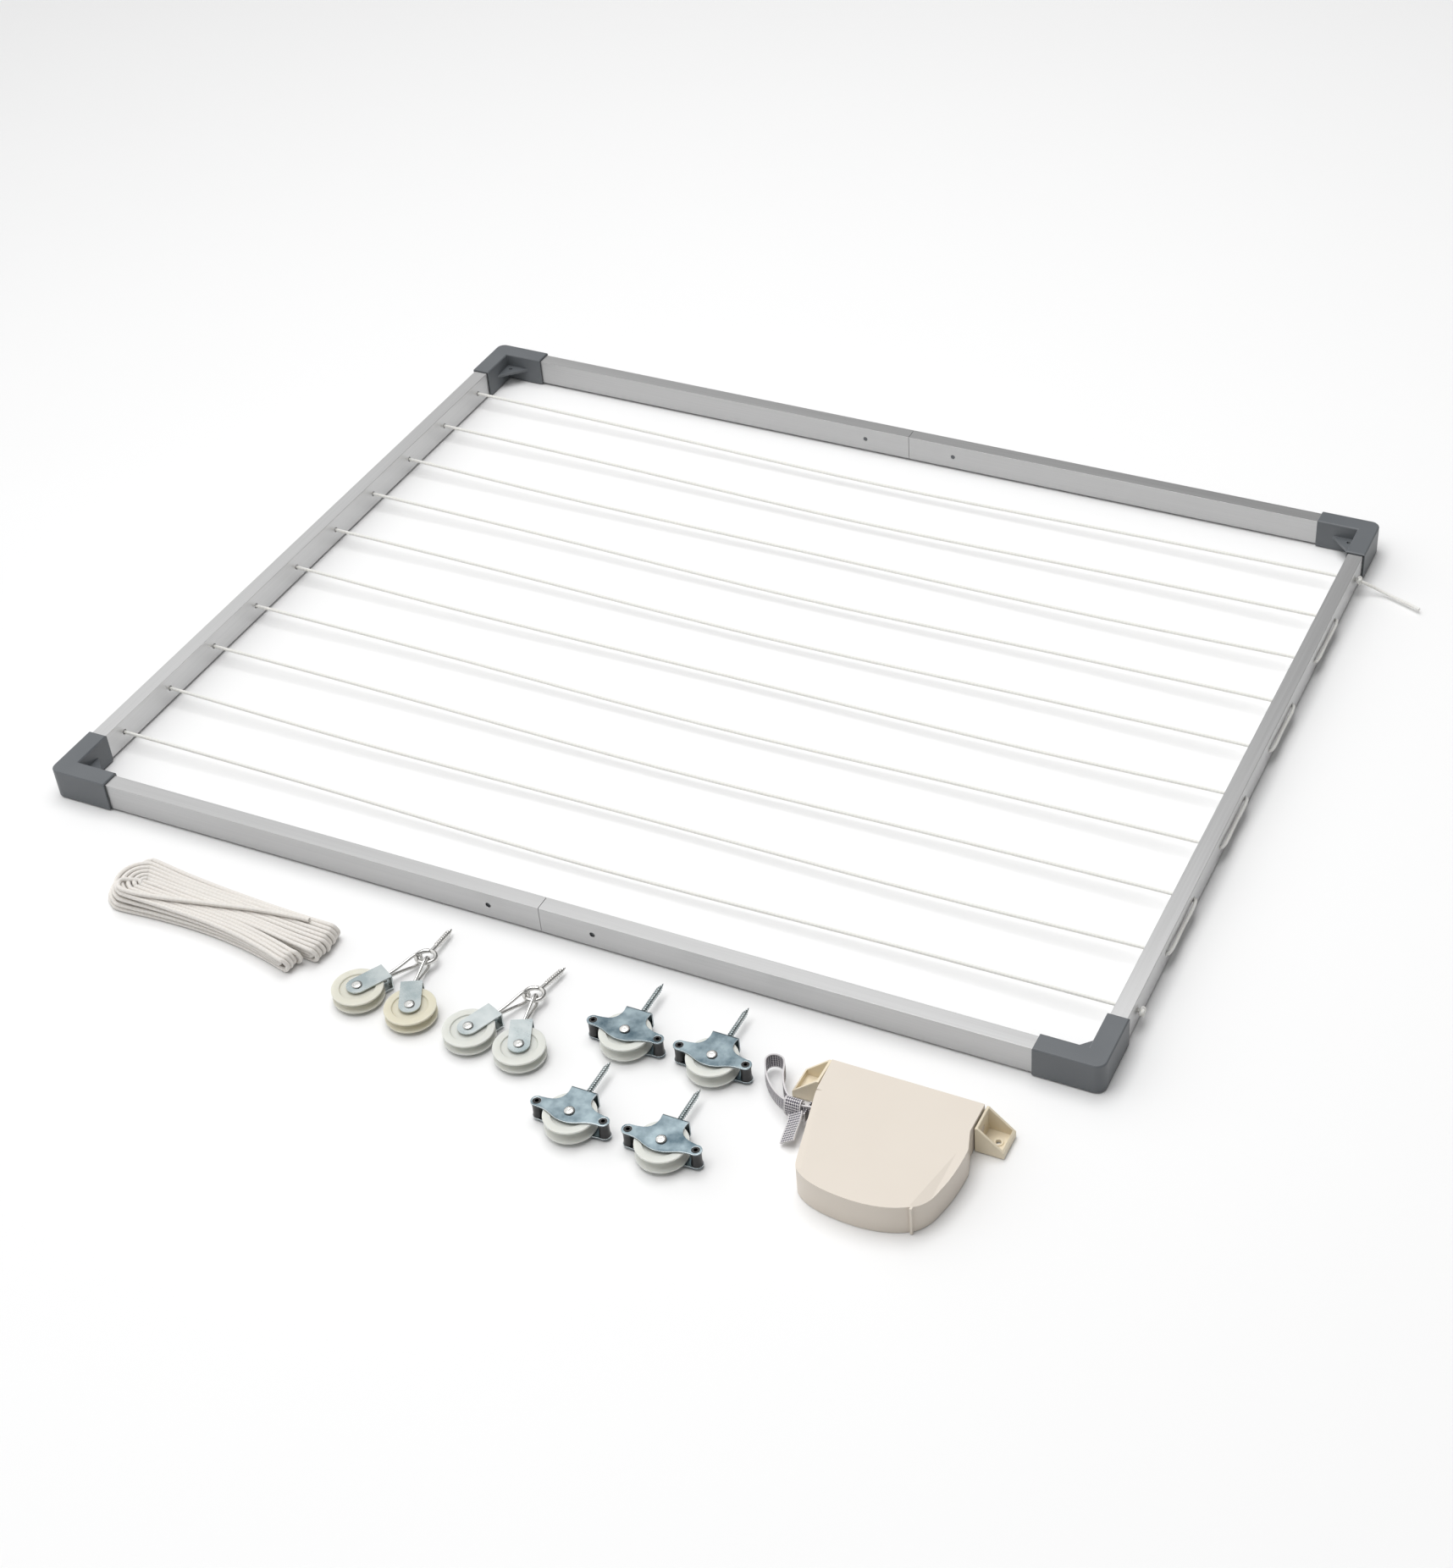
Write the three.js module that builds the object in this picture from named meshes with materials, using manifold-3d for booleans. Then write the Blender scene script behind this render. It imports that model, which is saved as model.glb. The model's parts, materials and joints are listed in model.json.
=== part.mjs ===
// A ceiling drying rack, laid out flat with its fittings as it comes out of the box:
// an aluminium frame laced with a clothesline, a hank of hoist rope, two double
// pulleys on screw eyes, four ceiling pulleys and a swinging strap winder.
// Millimetres, +Z up, floor at z = 0. X runs along the front rail and Y goes back.
import * as THREE from "three";
import { mergeVertices } from "three/addons/utils/BufferGeometryUtils.js";
import Module from "manifold-3d";

const wasm = await Module();
wasm.setup();

// ---------------------------------------------------------------- driving sizes
const GAP = 0.3; // left between two pieces that touch
const RUN = 0.3; // radial running clearance of a turning fit
const DRILL_PAST = 1; // a drill or a cavity runs this far past the metal

const FRAME_W = 1000; // outside of the rails, along X
const FRAME_D = 800; // outside of the rails, along Y
const RAIL_W = 15;
const RAIL_H = 26;
const RAIL_WALL = 1.2;

const CAP_WALL = 2; // moulded corner, outside the rail
const CAP_ARM = 58; // from the frame's outer corner
const CAP_SOCKET = 40;
const CAP_RADIUS = 9;
const CAP_EDGE = 1; // softened edge, top and bottom
const GUSSET_LEG = 24;
const GUSSET_T = 3;
const GUSSET_HOLE = 2.2;

const SPLICE_LENGTH = 140;
const RIVET_OFFSET = 50; // from the splice to each of its holes
const RIVET_HOLE = 2.6;
const STUD = 2;

const LINE_FIRST = 83; // from the frame's front
const LINE_PITCH = 70.8;
const LINE_CLEAR = 75; // least from the last line to the frame's back
const LINE_PAIRS = Math.floor((FRAME_D - LINE_FIRST - LINE_CLEAR + LINE_PITCH) / (2 * LINE_PITCH));
const LINES = 2 * LINE_PAIRS; // out and back, so both knots are on the same rail
const CORD = 1.6; // clothesline radius
const CORD_HOLE = 2.6;
const LINE_PROUD = 0.6; // a run outside the rail stands this far off it
const LINE_SLACK = [
  [0.2, 1.3, -3.6],
  [0.5, -1.6, -6.2],
  [0.8, 1.2, -3.4],
]; // share of the run, sideways, down
const LINE_TURN = 3; // from a hole to where the outside run is straight
const KNOT = 4.6;
const KNOT_FLAT = 0.8; // a knot's thickness against its width
const TAIL = [
  [6, 0, -1],
  [16, 3, -6],
  [29, 3, -10.5],
  [47, -3, -11.2],
  [67, -11, -11.2],
]; // free end past the last knot: out from the rail, back, up

const HANK_H = 17;
const HANK_EDGE = 3;

const PLATE = 1.2; // strip and plate metal
const HEAD_H = 1.6;
const HEAD_R = 4.3;
const AXLE_R = 2.4;
const SHEAVE_R = 21.5;
const GROOVE = 5.5;
const SHEAVE_ROOT = SHEAVE_R - GROOVE;
const SHEAVE_RIM = 1.6; // flat land beside the groove
const RECESS_LIP = 1.5; // from the groove's root in to the recess
const SHEAVE_RECESS_R = SHEAVE_ROOT - RECESS_LIP;
const SHEAVE_RECESS = 1.4;
const SHEAVE_HUB_R = 5.5;

const CEILING_SHEAVE_W = 13;
const CEILING_SIDE_PLAY = 0.5;
const WEB_CLEAR = 2.8; // sheave rim to the inside of the folded web
const WEB_Y = SHEAVE_R + WEB_CLEAR + PLATE; // axle to the outside of the web
const WEB_HALF = 11.4;
const ROLLER_FLANGE = 4.6;
const ROLLER_CLEAR = 3; // sheave rim to the roller's flange
const ARM_X = SHEAVE_R + ROLLER_CLEAR + ROLLER_FLANGE; // axle to guide roller
const ARM_Y = 0.5;
const ARM_END = 5.2;
const ARM_RISE = 5.3; // arm end above and below its centre line
const FOLD = 2.2;
const ROLLER_WAIST = 3.6;
const ROLLER_JOURNAL = 3;
const ROLLER_BORE = 1.7;
const LAG_R = 2.5;
const LAG_LENGTH = 40; // outside the web
const LAG_POINT = 8;

const HANGER_SHEAVE_W = 10.4;
const HANGER_SIDE_PLAY = 0.4;
const STRAP_HALF = 9;
const STRAP_CLEAR = 4.8; // sheave rim to the inside of the strap's web
const STRAP_REACH = SHEAVE_R + STRAP_CLEAR + PLATE; // axle to the outside of the web
const PIN_HOLE = 3.8;
const PIN_R = 1.4; // half of a split pin's wire
const PIN_REACH = 28.5; // strap web to the ring's wire
const PIN_EYE = 5.9; // half the height of the pin's eye
const PIN_SPREAD = 4; // how far its legs turn out inside the strap
const RING_R = 8;
const RING_WIRE = 2;
const EYE_NECK = 15; // ring centre to the first thread
const EYE_TIP = 41;
const EYE_THREAD = 2.7;
const EYE_TILT = -5; // degrees: the point lies lower than the ring

const CASE_H = 28;
const CASE_W = 128; // along the hinge edge
const CASE_D = 126;
const CASE_WALL = 2;
const COVER_T = 1.8;
const PIVOT = 12.5; // from the hinge edge and from the floor
const STUB_R = 4;
const LUG_W = 24;
const LUG_D = 26;
const LUG_PAST = 2; // behind the case's hinge edge
const LUG_H = 25;
const LUG_LOW = 6;
const LUG_WALL = 2.2;
const LUG_GAP = 1;
const LUG_BOSS = 4.2;
const LUG_SCREW = 2.3;
const SPOOL = [7, -66]; // axle, from the middle of the hinge edge
const SPOOL_FLANGE = 46;
const SPOOL_DRUM = 24;
const SPOOL_WALL = 2;
const SPOOL_SIDE = 1.5;
const SPOOL_PLAY = 0.8; // above and below the spool
const WEBBING = 14; // strap width
const ROLL_R = 40;
const SLOT = [-37, -52]; // slot in the case's left side, along Y
const POST_R = 5;
const SPRING_T = 0.8;
const SPRING_TURNS = 4;

// Where each loose piece lies: x and y from the frame's front left corner.
const PULLEY_HALF = ARM_X + ARM_END;
const FRONT_ROW = -90.8;
const SCREW_CLEAR = 7.3; // a screw's tip to the sheave it points at
const BACK_ROW = FRONT_ROW - (SHEAVE_R + WEB_Y + LAG_LENGTH + SCREW_CLEAR);
const FRONT_ROW_START = 629.6;
const FRONT_ROW_BETWEEN = 8.8; // arm end to arm end
const BACK_ROW_START = 631.6;
const BACK_ROW_BETWEEN = 11.1;
const CEILING_PULLEYS = [
  [FRONT_ROW_START, FRONT_ROW],
  [FRONT_ROW_START + 2 * PULLEY_HALF + FRONT_ROW_BETWEEN, FRONT_ROW + 0.5],
  [BACK_ROW_START, BACK_ROW],
  [BACK_ROW_START + 2 * PULLEY_HALF + BACK_ROW_BETWEEN, BACK_ROW],
];
const WINDER_AWAY = 119.9; // last arm end to the middle of the winder's hinge edge
// Eye position and turn; then for each side the angle round the ring where the pin
// hooks on, the heading of the pin, and the heading of the strap, in degrees.
const HANGERS = [
  { at: [430, -68.5], turn: 0, left: [225, -114.7, -118.7], right: [305, -82, -62] },
  { at: [536, -74], turn: -9, left: [225, -113.3, -112.2], right: [305, -81, -65] },
];
const WINDER = [CEILING_PULLEYS[3][0] + PULLEY_HALF + WINDER_AWAY, -68];

// -------------------------------------------------------------------- materials
const finish = (color, roughness, metalness) =>
  new THREE.MeshStandardMaterial({ color, roughness, metalness });
const ALUMINIUM = finish(0xb9bab9, 0.38, 1);
const GREY_PLASTIC = finish(0x63676b, 0.5, 0);
const WHITE_CORD = finish(0xe9e8e2, 0.7, 0);
const ROPE = finish(0xdedbd6, 0.85, 0);
const ZINC = finish(0x9fb0b6, 0.34, 1);
const STEEL = finish(0xb4b4b0, 0.3, 1);
const NYLON = finish(0xe6e4d8, 0.45, 0);
const BLACK_PLASTIC = finish(0x111213, 0.35, 0);
const CREAM_PLASTIC = finish(0xded4c6, 0.42, 0);
const WEB_STRAP = finish(0xa9a4a8, 0.9, 0);
const SPRING_STEEL = finish(0x55585c, 0.35, 1);

// ------------------------------------------------------------- solids and meshes
const rad = THREE.MathUtils.degToRad;

function solidOf(geometry) {
  const bare = geometry.clone();
  bare.deleteAttribute("normal");
  bare.deleteAttribute("uv");
  const merged = mergeVertices(bare, 1e-4);
  return new wasm.Manifold(
    new wasm.Mesh({
      numProp: 3,
      vertProperties: merged.attributes.position.array,
      triVerts: new Uint32Array(merged.index.array),
    }),
  );
}

function geometryOf(solid) {
  const mesh = solid.getMesh();
  const geometry = new THREE.BufferGeometry();
  const positions = new Float32Array(mesh.numVert * 3);
  for (let i = 0; i < mesh.numVert; i++) {
    const start = i * mesh.numProp;
    positions.set(mesh.vertProperties.subarray(start, start + 3), i * 3);
  }
  geometry.setAttribute("position", new THREE.BufferAttribute(positions, 3));
  geometry.setIndex(new THREE.BufferAttribute(mesh.triVerts, 1));
  const flat = geometry.toNonIndexed();
  flat.computeVertexNormals();
  return flat;
}

const union = (...solids) => solids.reduce((a, b) => a.add(b));
const cut = (solid, ...tools) => tools.reduce((a, b) => a.subtract(b), solid);

function box(x0, x1, y0, y1, z0, z1) {
  const geometry = new THREE.BoxGeometry(x1 - x0, y1 - y0, z1 - z0);
  geometry.translate((x0 + x1) / 2, (y0 + y1) / 2, (z0 + z1) / 2);
  return solidOf(geometry);
}

// A plane outline raised from z0 to z1.
function prism(shape, z0, z1, curveSegments = 6) {
  const options = { depth: z1 - z0, bevelEnabled: false, curveSegments };
  const geometry = new THREE.ExtrudeGeometry(shape, options);
  geometry.translate(0, 0, z0);
  return solidOf(geometry);
}

// A round bar between two points along one axis.
function bar(axis, radius, from, to, sides = 12) {
  const geometry = new THREE.CylinderGeometry(radius, radius, to - from, sides);
  geometry.translate(0, (from + to) / 2, 0);
  if (axis === "x") geometry.rotateZ(-Math.PI / 2);
  if (axis === "z") geometry.rotateX(Math.PI / 2);
  return solidOf(geometry);
}

// A turned piece: [radius, height] points, from the axis or closing on themselves.
function turned(points, sides) {
  const profile = points.map(([r, h]) => new THREE.Vector2(r, h));
  return new THREE.LatheGeometry(profile, sides);
}

// Sections fall on the chosen points, so tight bends keep theirs beside long runs.
class Route extends THREE.CatmullRomCurve3 {
  getUtoTmapping(u) {
    return u;
  }
}

function roundSection(radius, sides) {
  const points = [];
  for (let i = 0; i < sides; i++) {
    const a = (2 * Math.PI * i) / sides;
    points.push(new THREE.Vector2(radius * Math.cos(a), radius * Math.sin(a)));
  }
  return new THREE.Shape(points);
}

function swept(points, radius, sides = 8, perSpan = 1) {
  const vectors = points.map((p) => new THREE.Vector3(...p));
  const extrudePath = new Route(vectors, false, "centripetal");
  const steps = (points.length - 1) * perSpan;
  return new THREE.ExtrudeGeometry(roundSection(radius, sides), { steps, extrudePath });
}

function piece(name, made, material, parent) {
  const geometry = made.isBufferGeometry ? made : geometryOf(made);
  const mesh = new THREE.Mesh(geometry, material);
  mesh.name = name;
  parent.add(mesh);
  return mesh;
}

const kit = new THREE.Group();

// --------------------------------------------------------------------- the frame
const railZ0 = CAP_WALL;
const railZ1 = railZ0 + RAIL_H;
const railMid = (railZ0 + railZ1) / 2;
const capTop = railZ1 + CAP_WALL;
const railStart = CAP_ARM - CAP_SOCKET + GAP;
const lineY = (i) => LINE_FIRST + i * LINE_PITCH;

// A moulded corner for the front left; the other three are turned or mirrored copies.
function cornerCap() {
  const out = -CAP_WALL;
  const inner = RAIL_W + CAP_WALL;
  const ell = new THREE.Shape();
  ell.moveTo(CAP_ARM, out);
  ell.lineTo(CAP_ARM, inner);
  ell.lineTo(inner, inner);
  ell.lineTo(inner, CAP_ARM);
  ell.lineTo(out, CAP_ARM);
  ell.lineTo(out, out + CAP_RADIUS);
  ell.absarc(out + CAP_RADIUS, out + CAP_RADIUS, CAP_RADIUS, Math.PI, 1.5 * Math.PI, false);
  const body = new THREE.ExtrudeGeometry(ell, {
    depth: capTop - 2 * CAP_EDGE,
    bevelThickness: CAP_EDGE,
    bevelSize: CAP_EDGE,
    bevelOffset: -CAP_EDGE,
    bevelSegments: 1,
    curveSegments: 5,
  });
  body.translate(0, 0, CAP_EDGE);

  const tie = inner + GUSSET_LEG * 0.25;
  const gusset = new THREE.Shape();
  gusset.moveTo(inner - 1, inner - 1);
  gusset.lineTo(inner + GUSSET_LEG, inner - 1);
  gusset.lineTo(inner + GUSSET_LEG, inner);
  gusset.lineTo(inner, inner + GUSSET_LEG);
  gusset.lineTo(inner - 1, inner + GUSSET_LEG);
  const eyelet = new THREE.Path();
  eyelet.absarc(tie, tie, GUSSET_HOLE, 0, 2 * Math.PI, true);
  gusset.holes.push(eyelet);

  const low = railZ0 - GAP;
  const high = railZ1 + GAP;
  const mouth = CAP_ARM + 1;
  const start = CAP_ARM - CAP_SOCKET;
  return cut(
    union(solidOf(body), prism(gusset, railMid - GUSSET_T / 2, railMid + GUSSET_T / 2, 3)),
    box(start, mouth, -GAP, RAIL_W + GAP, low, high),
    box(-GAP, RAIL_W + GAP, start, mouth, low, high),
  );
}

const cap = cornerCap();
const backCap = cap.mirror([0, 1, 0]).translate([0, FRAME_D, 0]);
const rightCap = (solid) => solid.mirror([1, 0, 0]).translate([FRAME_W, 0, 0]);
piece("corner_front_left", cap, GREY_PLASTIC, kit);
piece("corner_front_right", rightCap(cap), GREY_PLASTIC, kit);
piece("corner_back_left", backCap, GREY_PLASTIC, kit);
piece("corner_back_right", rightCap(backCap), GREY_PLASTIC, kit);

// Side rails, drilled through both walls for the line.
for (const [side, x0] of [["left", 0], ["right", FRAME_W - RAIL_W]]) {
  const y0 = railStart;
  const y1 = FRAME_D - railStart;
  const wall = RAIL_WALL;
  const rail = cut(
    box(x0, x0 + RAIL_W, y0, y1, railZ0, railZ1),
    box(x0 + wall, x0 + RAIL_W - wall, y0 - DRILL_PAST, y1 + DRILL_PAST, railZ0 + wall, railZ1 - wall),
  );
  const drills = [];
  for (let i = 0; i < LINES; i++) {
    const drill = bar("x", CORD_HOLE, x0 - DRILL_PAST, x0 + RAIL_W + DRILL_PAST, 6);
    drills.push(drill.translate([0, lineY(i), railMid]));
  }
  piece("side_tube_" + side, cut(rail, ...drills), ALUMINIUM, kit);
}

// Front and back rails come in two halves, joined over an insert. Each end of the
// insert has a sprung stud in the rail's inner wall and a plain hole in the outer one.
const middle = FRAME_W / 2;
for (const [place, y0, outward] of [["front", 0, -1], ["back", FRAME_D - RAIL_W, 1]]) {
  const outer = outward < 0 ? y0 : y0 + RAIL_W;
  const inner = outward < 0 ? y0 + RAIL_W : y0;
  for (const [side, x0, x1] of [
    ["left", railStart, middle - GAP / 2],
    ["right", middle + GAP / 2, FRAME_W - railStart],
  ]) {
    const wall = RAIL_WALL;
    const y1 = y0 + RAIL_W;
    const hole = side === "left" ? middle - RIVET_OFFSET : middle + RIVET_OFFSET;
    const through = (y, radius) =>
      bar("y", radius, y - 2 * wall, y + 2 * wall, 10).translate([hole, 0, railMid]);
    const rail = cut(
      box(x0, x1, y0, y1, railZ0, railZ1),
      box(x0 - DRILL_PAST, x1 + DRILL_PAST, y0 + wall, y1 - wall, railZ0 + wall, railZ1 - wall),
      through(outer, RIVET_HOLE),
      through(inner, STUD + GAP),
    );
    piece(place + "_tube_" + side + "_half", rail, ALUMINIUM, kit);
  }
  const inset = RAIL_WALL + GAP;
  const half = SPLICE_LENGTH / 2;
  const stud = (x) => {
    const from = Math.min(inner, inner + outward * 3);
    const to = Math.max(inner, inner + outward * 3);
    return bar("y", STUD, from, to, 8).translate([x, 0, railMid]);
  };
  const insert = union(
    box(
      middle - half,
      middle + half,
      y0 + inset,
      y0 + RAIL_W - inset,
      railZ0 + inset,
      railZ1 - inset,
    ),
    stud(middle - RIVET_OFFSET),
    stud(middle + RIVET_OFFSET),
  );
  piece(place + "_splice_insert", insert, GREY_PLASTIC, kit);
}

// The clothesline: knotted outside the right rail, it crosses to the left rail and
// back through the drilled holes, and ends in a second knot on the same side.
function clothesline() {
  const face = CORD + LINE_PROUD;
  const points = [[FRAME_W + face + 2, lineY(0), railMid]];
  for (let i = 0; i < LINES; i++) {
    const y = lineY(i);
    const leftward = i % 2 === 0;
    const start = leftward ? FRAME_W : 0;
    const step = leftward ? -1 : 1;
    const along = (distance) => start + step * distance;
    points.push([along(-0.5), y, railMid]);
    points.push([along(RAIL_W), y, railMid]);
    for (const [share, sideways, down] of LINE_SLACK) {
      const swing = i % 3 === 1 ? -sideways : sideways;
      const x = along(RAIL_W + share * (FRAME_W - 2 * RAIL_W));
      points.push([x, y + swing, railMid + down]);
    }
    points.push([along(FRAME_W - RAIL_W), y, railMid]);
    points.push([along(FRAME_W + 0.5), y, railMid]);
    if (i < LINES - 1) {
      const outside = along(FRAME_W + face);
      points.push([outside, y + LINE_TURN, railMid]);
      points.push([outside, y + LINE_PITCH / 2, railMid - 1]);
      points.push([outside, y + LINE_PITCH - LINE_TURN, railMid]);
    }
  }
  const last = lineY(LINES - 1);
  for (const [out, back, up] of TAIL) points.push([FRAME_W + out, last + back, railMid + up]);
  const knot = (y) => {
    const ball = new THREE.IcosahedronGeometry(KNOT, 1);
    ball.scale(KNOT_FLAT, 1, 1);
    ball.translate(FRAME_W + KNOT * KNOT_FLAT + GAP, y, railMid - 0.5);
    return solidOf(ball);
  };
  return union(solidOf(swept(points, CORD)), knot(lineY(0)), knot(last));
}
piece("clothesline", clothesline(), WHITE_CORD, kit);

// The hoist rope, folded into a hank with a narrower middle.
function hank() {
  const outline = new THREE.Shape();
  outline.moveTo(144, -115);
  outline.bezierCurveTo(175, -122, 215, -115, 250, -114);
  outline.bezierCurveTo(290, -115, 310, -121, 330, -124);
  outline.bezierCurveTo(354, -126, 354, -104, 350, -92);
  outline.bezierCurveTo(348, -76, 340, -66, 322, -66);
  outline.bezierCurveTo(290, -71, 240, -72, 205, -67);
  outline.bezierCurveTo(180, -61, 160, -57, 146, -56);
  outline.bezierCurveTo(122, -55, 118, -70, 126, -82);
  outline.bezierCurveTo(130, -98, 128, -110, 144, -115);
  const made = new THREE.ExtrudeGeometry(outline, {
    depth: HANK_H - 2 * HANK_EDGE,
    bevelThickness: HANK_EDGE,
    bevelSize: HANK_EDGE,
    bevelOffset: -HANK_EDGE,
    bevelSegments: 1,
    curveSegments: 5,
  });
  made.translate(0, 0, HANK_EDGE);
  return made;
}
piece("hoist_rope_hank", hank(), ROPE, kit);

// ----------------------------------------------------------------------- pulleys
// A sheave with a rounded V groove and a recess round the hub on both faces.
function sheave(width) {
  const half = width / 2;
  const bore = AXLE_R + RUN;
  const rim = half - SHEAVE_RIM;
  const web = half - SHEAVE_RECESS;
  const profile = [
    [bore, -half],
    [SHEAVE_HUB_R, -half],
    [SHEAVE_HUB_R, -web],
    [SHEAVE_RECESS_R, -web],
    [SHEAVE_RECESS_R, -half],
    [SHEAVE_R, -half],
    [SHEAVE_R, -rim],
    [SHEAVE_ROOT, 0],
    [SHEAVE_R, rim],
    [SHEAVE_R, half],
    [SHEAVE_RECESS_R, half],
    [SHEAVE_RECESS_R, web],
    [SHEAVE_HUB_R, web],
    [SHEAVE_HUB_R, half],
    [bore, half],
    [bore, -half],
  ];
  return turned(profile, 16).rotateX(Math.PI / 2);
}

// A headed axle, domed at both ends, standing from z = 0 to its length.
function rivet(length) {
  const soft = HEAD_R * 0.72;
  const profile = [
    [0, 0],
    [soft, 0],
    [HEAD_R, HEAD_H],
    [AXLE_R, HEAD_H],
    [AXLE_R, length - HEAD_H],
    [HEAD_R, length - HEAD_H],
    [soft, length],
    [0, length],
  ];
  return turned(profile, 10).rotateX(Math.PI / 2);
}

// A ceiling pulley lies on one plate: arms along X, its screw along +Y.
const ceilingPlate0 = HEAD_H + GAP;
const ceilingInside0 = ceilingPlate0 + PLATE;
const ceilingInside1 = ceilingInside0 + CEILING_SHEAVE_W + 2 * CEILING_SIDE_PLAY;
const ceilingPlate1 = ceilingInside1 + PLATE;
const ceilingMid = (ceilingPlate0 + ceilingPlate1) / 2;

function bracket() {
  const outline = new THREE.Shape();
  const top = ARM_Y + ARM_RISE;
  outline.moveTo(-WEB_HALF, WEB_Y);
  outline.lineTo(-WEB_HALF + 0.7, WEB_Y * 0.74);
  outline.bezierCurveTo(-WEB_HALF + 0.4, 12, -14, 7.2, -ARM_X + 6, top + 0.4);
  outline.absarc(-ARM_X, ARM_Y, ARM_END, 0.45 * Math.PI, 1.55 * Math.PI, false);
  outline.bezierCurveTo(-ARM_X + 9, -4.4, -16, -6.6, -10, -9.4);
  outline.bezierCurveTo(-4, -12, 4, -12, 10, -9.4);
  outline.bezierCurveTo(16, -6.6, ARM_X - 9, -4.4, ARM_X, ARM_Y - ARM_END);
  outline.absarc(ARM_X, ARM_Y, ARM_END, -0.45 * Math.PI, 0.55 * Math.PI, false);
  outline.bezierCurveTo(14, 7.2, WEB_HALF - 0.4, 12, WEB_HALF - 0.7, WEB_Y * 0.74);
  outline.lineTo(WEB_HALF, WEB_Y);

  const front = -ARM_END - 20;
  const fold = new THREE.Shape();
  const inFold = FOLD - PLATE;
  fold.moveTo(front, ceilingPlate0);
  fold.lineTo(WEB_Y - FOLD, ceilingPlate0);
  fold.absarc(WEB_Y - FOLD, ceilingPlate0 + FOLD, FOLD, -Math.PI / 2, 0, false);
  fold.lineTo(WEB_Y, ceilingPlate1 - FOLD);
  fold.absarc(WEB_Y - FOLD, ceilingPlate1 - FOLD, FOLD, 0, Math.PI / 2, false);
  fold.lineTo(front, ceilingPlate1);
  fold.lineTo(front, ceilingInside1);
  fold.lineTo(WEB_Y - FOLD, ceilingInside1);
  fold.absarc(WEB_Y - FOLD, ceilingPlate1 - FOLD, inFold, Math.PI / 2, 0, true);
  fold.lineTo(WEB_Y - PLATE, ceilingPlate0 + FOLD);
  fold.absarc(WEB_Y - FOLD, ceilingPlate0 + FOLD, inFold, 0, -Math.PI / 2, true);
  fold.lineTo(front, ceilingInside0);
  const width = 2 * (ARM_X + ARM_END);
  const options = { depth: width, bevelEnabled: false, curveSegments: 2 };
  const channel = new THREE.ExtrudeGeometry(fold, options);
  channel.translate(0, 0, -width / 2);
  channel.rotateX(Math.PI / 2);
  channel.rotateZ(Math.PI / 2);

  const drill = (x, y, radius, sides) =>
    bar("z", radius, 0, ceilingPlate1 + DRILL_PAST, sides).translate([x, y, 0]);
  return cut(
    solidOf(channel).intersect(prism(outline, 0, ceilingPlate1 + DRILL_PAST, 6)),
    drill(0, 0, AXLE_R + GAP, 8),
    drill(-ARM_X, ARM_Y, ROLLER_JOURNAL + 1.5 * RUN, 10),
    drill(ARM_X, ARM_Y, ROLLER_JOURNAL + 1.5 * RUN, 10),
    bar("y", LAG_R + GAP, WEB_Y - 2 * FOLD, WEB_Y + 1, 10).translate([0, 0, ceilingMid]),
  );
}

// A waisted guide roller whose hollow journals run in the two plates.
function roller() {
  const z0 = ceilingInside0 + GAP;
  const z1 = ceilingInside1 - GAP;
  const lip = 3.6;
  const profile = [
    [ROLLER_BORE, ceilingPlate0],
    [ROLLER_JOURNAL, ceilingPlate0],
    [ROLLER_JOURNAL, z0],
    [ROLLER_FLANGE, z0],
    [ROLLER_WAIST, z0 + lip],
    [ROLLER_WAIST, z1 - lip],
    [ROLLER_FLANGE, z1],
    [ROLLER_JOURNAL, z1],
    [ROLLER_JOURNAL, ceilingPlate1],
    [ROLLER_BORE, ceilingPlate1],
    [ROLLER_BORE, ceilingPlate0],
  ];
  return turned(profile, 8).rotateX(Math.PI / 2);
}

// The screw that goes into the ceiling, held in the web by its head.
function lagScrew() {
  const head = WEB_Y - PLATE - GAP;
  const tip = WEB_Y + LAG_LENGTH;
  const profile = [
    [0, head - 1.4],
    [HEAD_R, head - 1.4],
    [HEAD_R, head],
    [LAG_R, head],
    [LAG_R, tip - LAG_POINT],
    [LAG_R * 0.6, tip - LAG_POINT * 0.35],
    [0, tip],
  ];
  return turned(profile, 10).translate(0, 0, ceilingMid);
}

CEILING_PULLEYS.forEach(([x, y], index) => {
  const pulley = new THREE.Group();
  pulley.position.set(x, y, 0);
  kit.add(pulley);
  const name = "ceiling_pulley_" + (index + 1);
  piece(name + "_bracket", bracket(), ZINC, pulley);
  piece(name + "_axle_rivet", rivet(ceilingPlate1 + GAP + HEAD_H), STEEL, pulley);
  piece(name + "_lag_screw", lagScrew(), ZINC, pulley);
  const wheel = piece(name + "_sheave", sheave(CEILING_SHEAVE_W), NYLON, pulley);
  wheel.position.z = ceilingMid;
  for (const [side, sign] of [["left", -1], ["right", 1]]) {
    const guide = piece(name + "_roller_" + side, roller(), BLACK_PLASTIC, pulley);
    guide.position.set(sign * ARM_X, ARM_Y, 0);
  }
});

// A hanger: one screw eye with two strap pulleys, each on a split pin through the eye.
const strapInside0 = HEAD_H + PLATE;
const strapInside1 = strapInside0 + HANGER_SHEAVE_W + 2 * HANGER_SIDE_PLAY;
const strapTop = strapInside1 + PLATE;
const strapMid = (strapInside0 + strapInside1) / 2;

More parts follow.
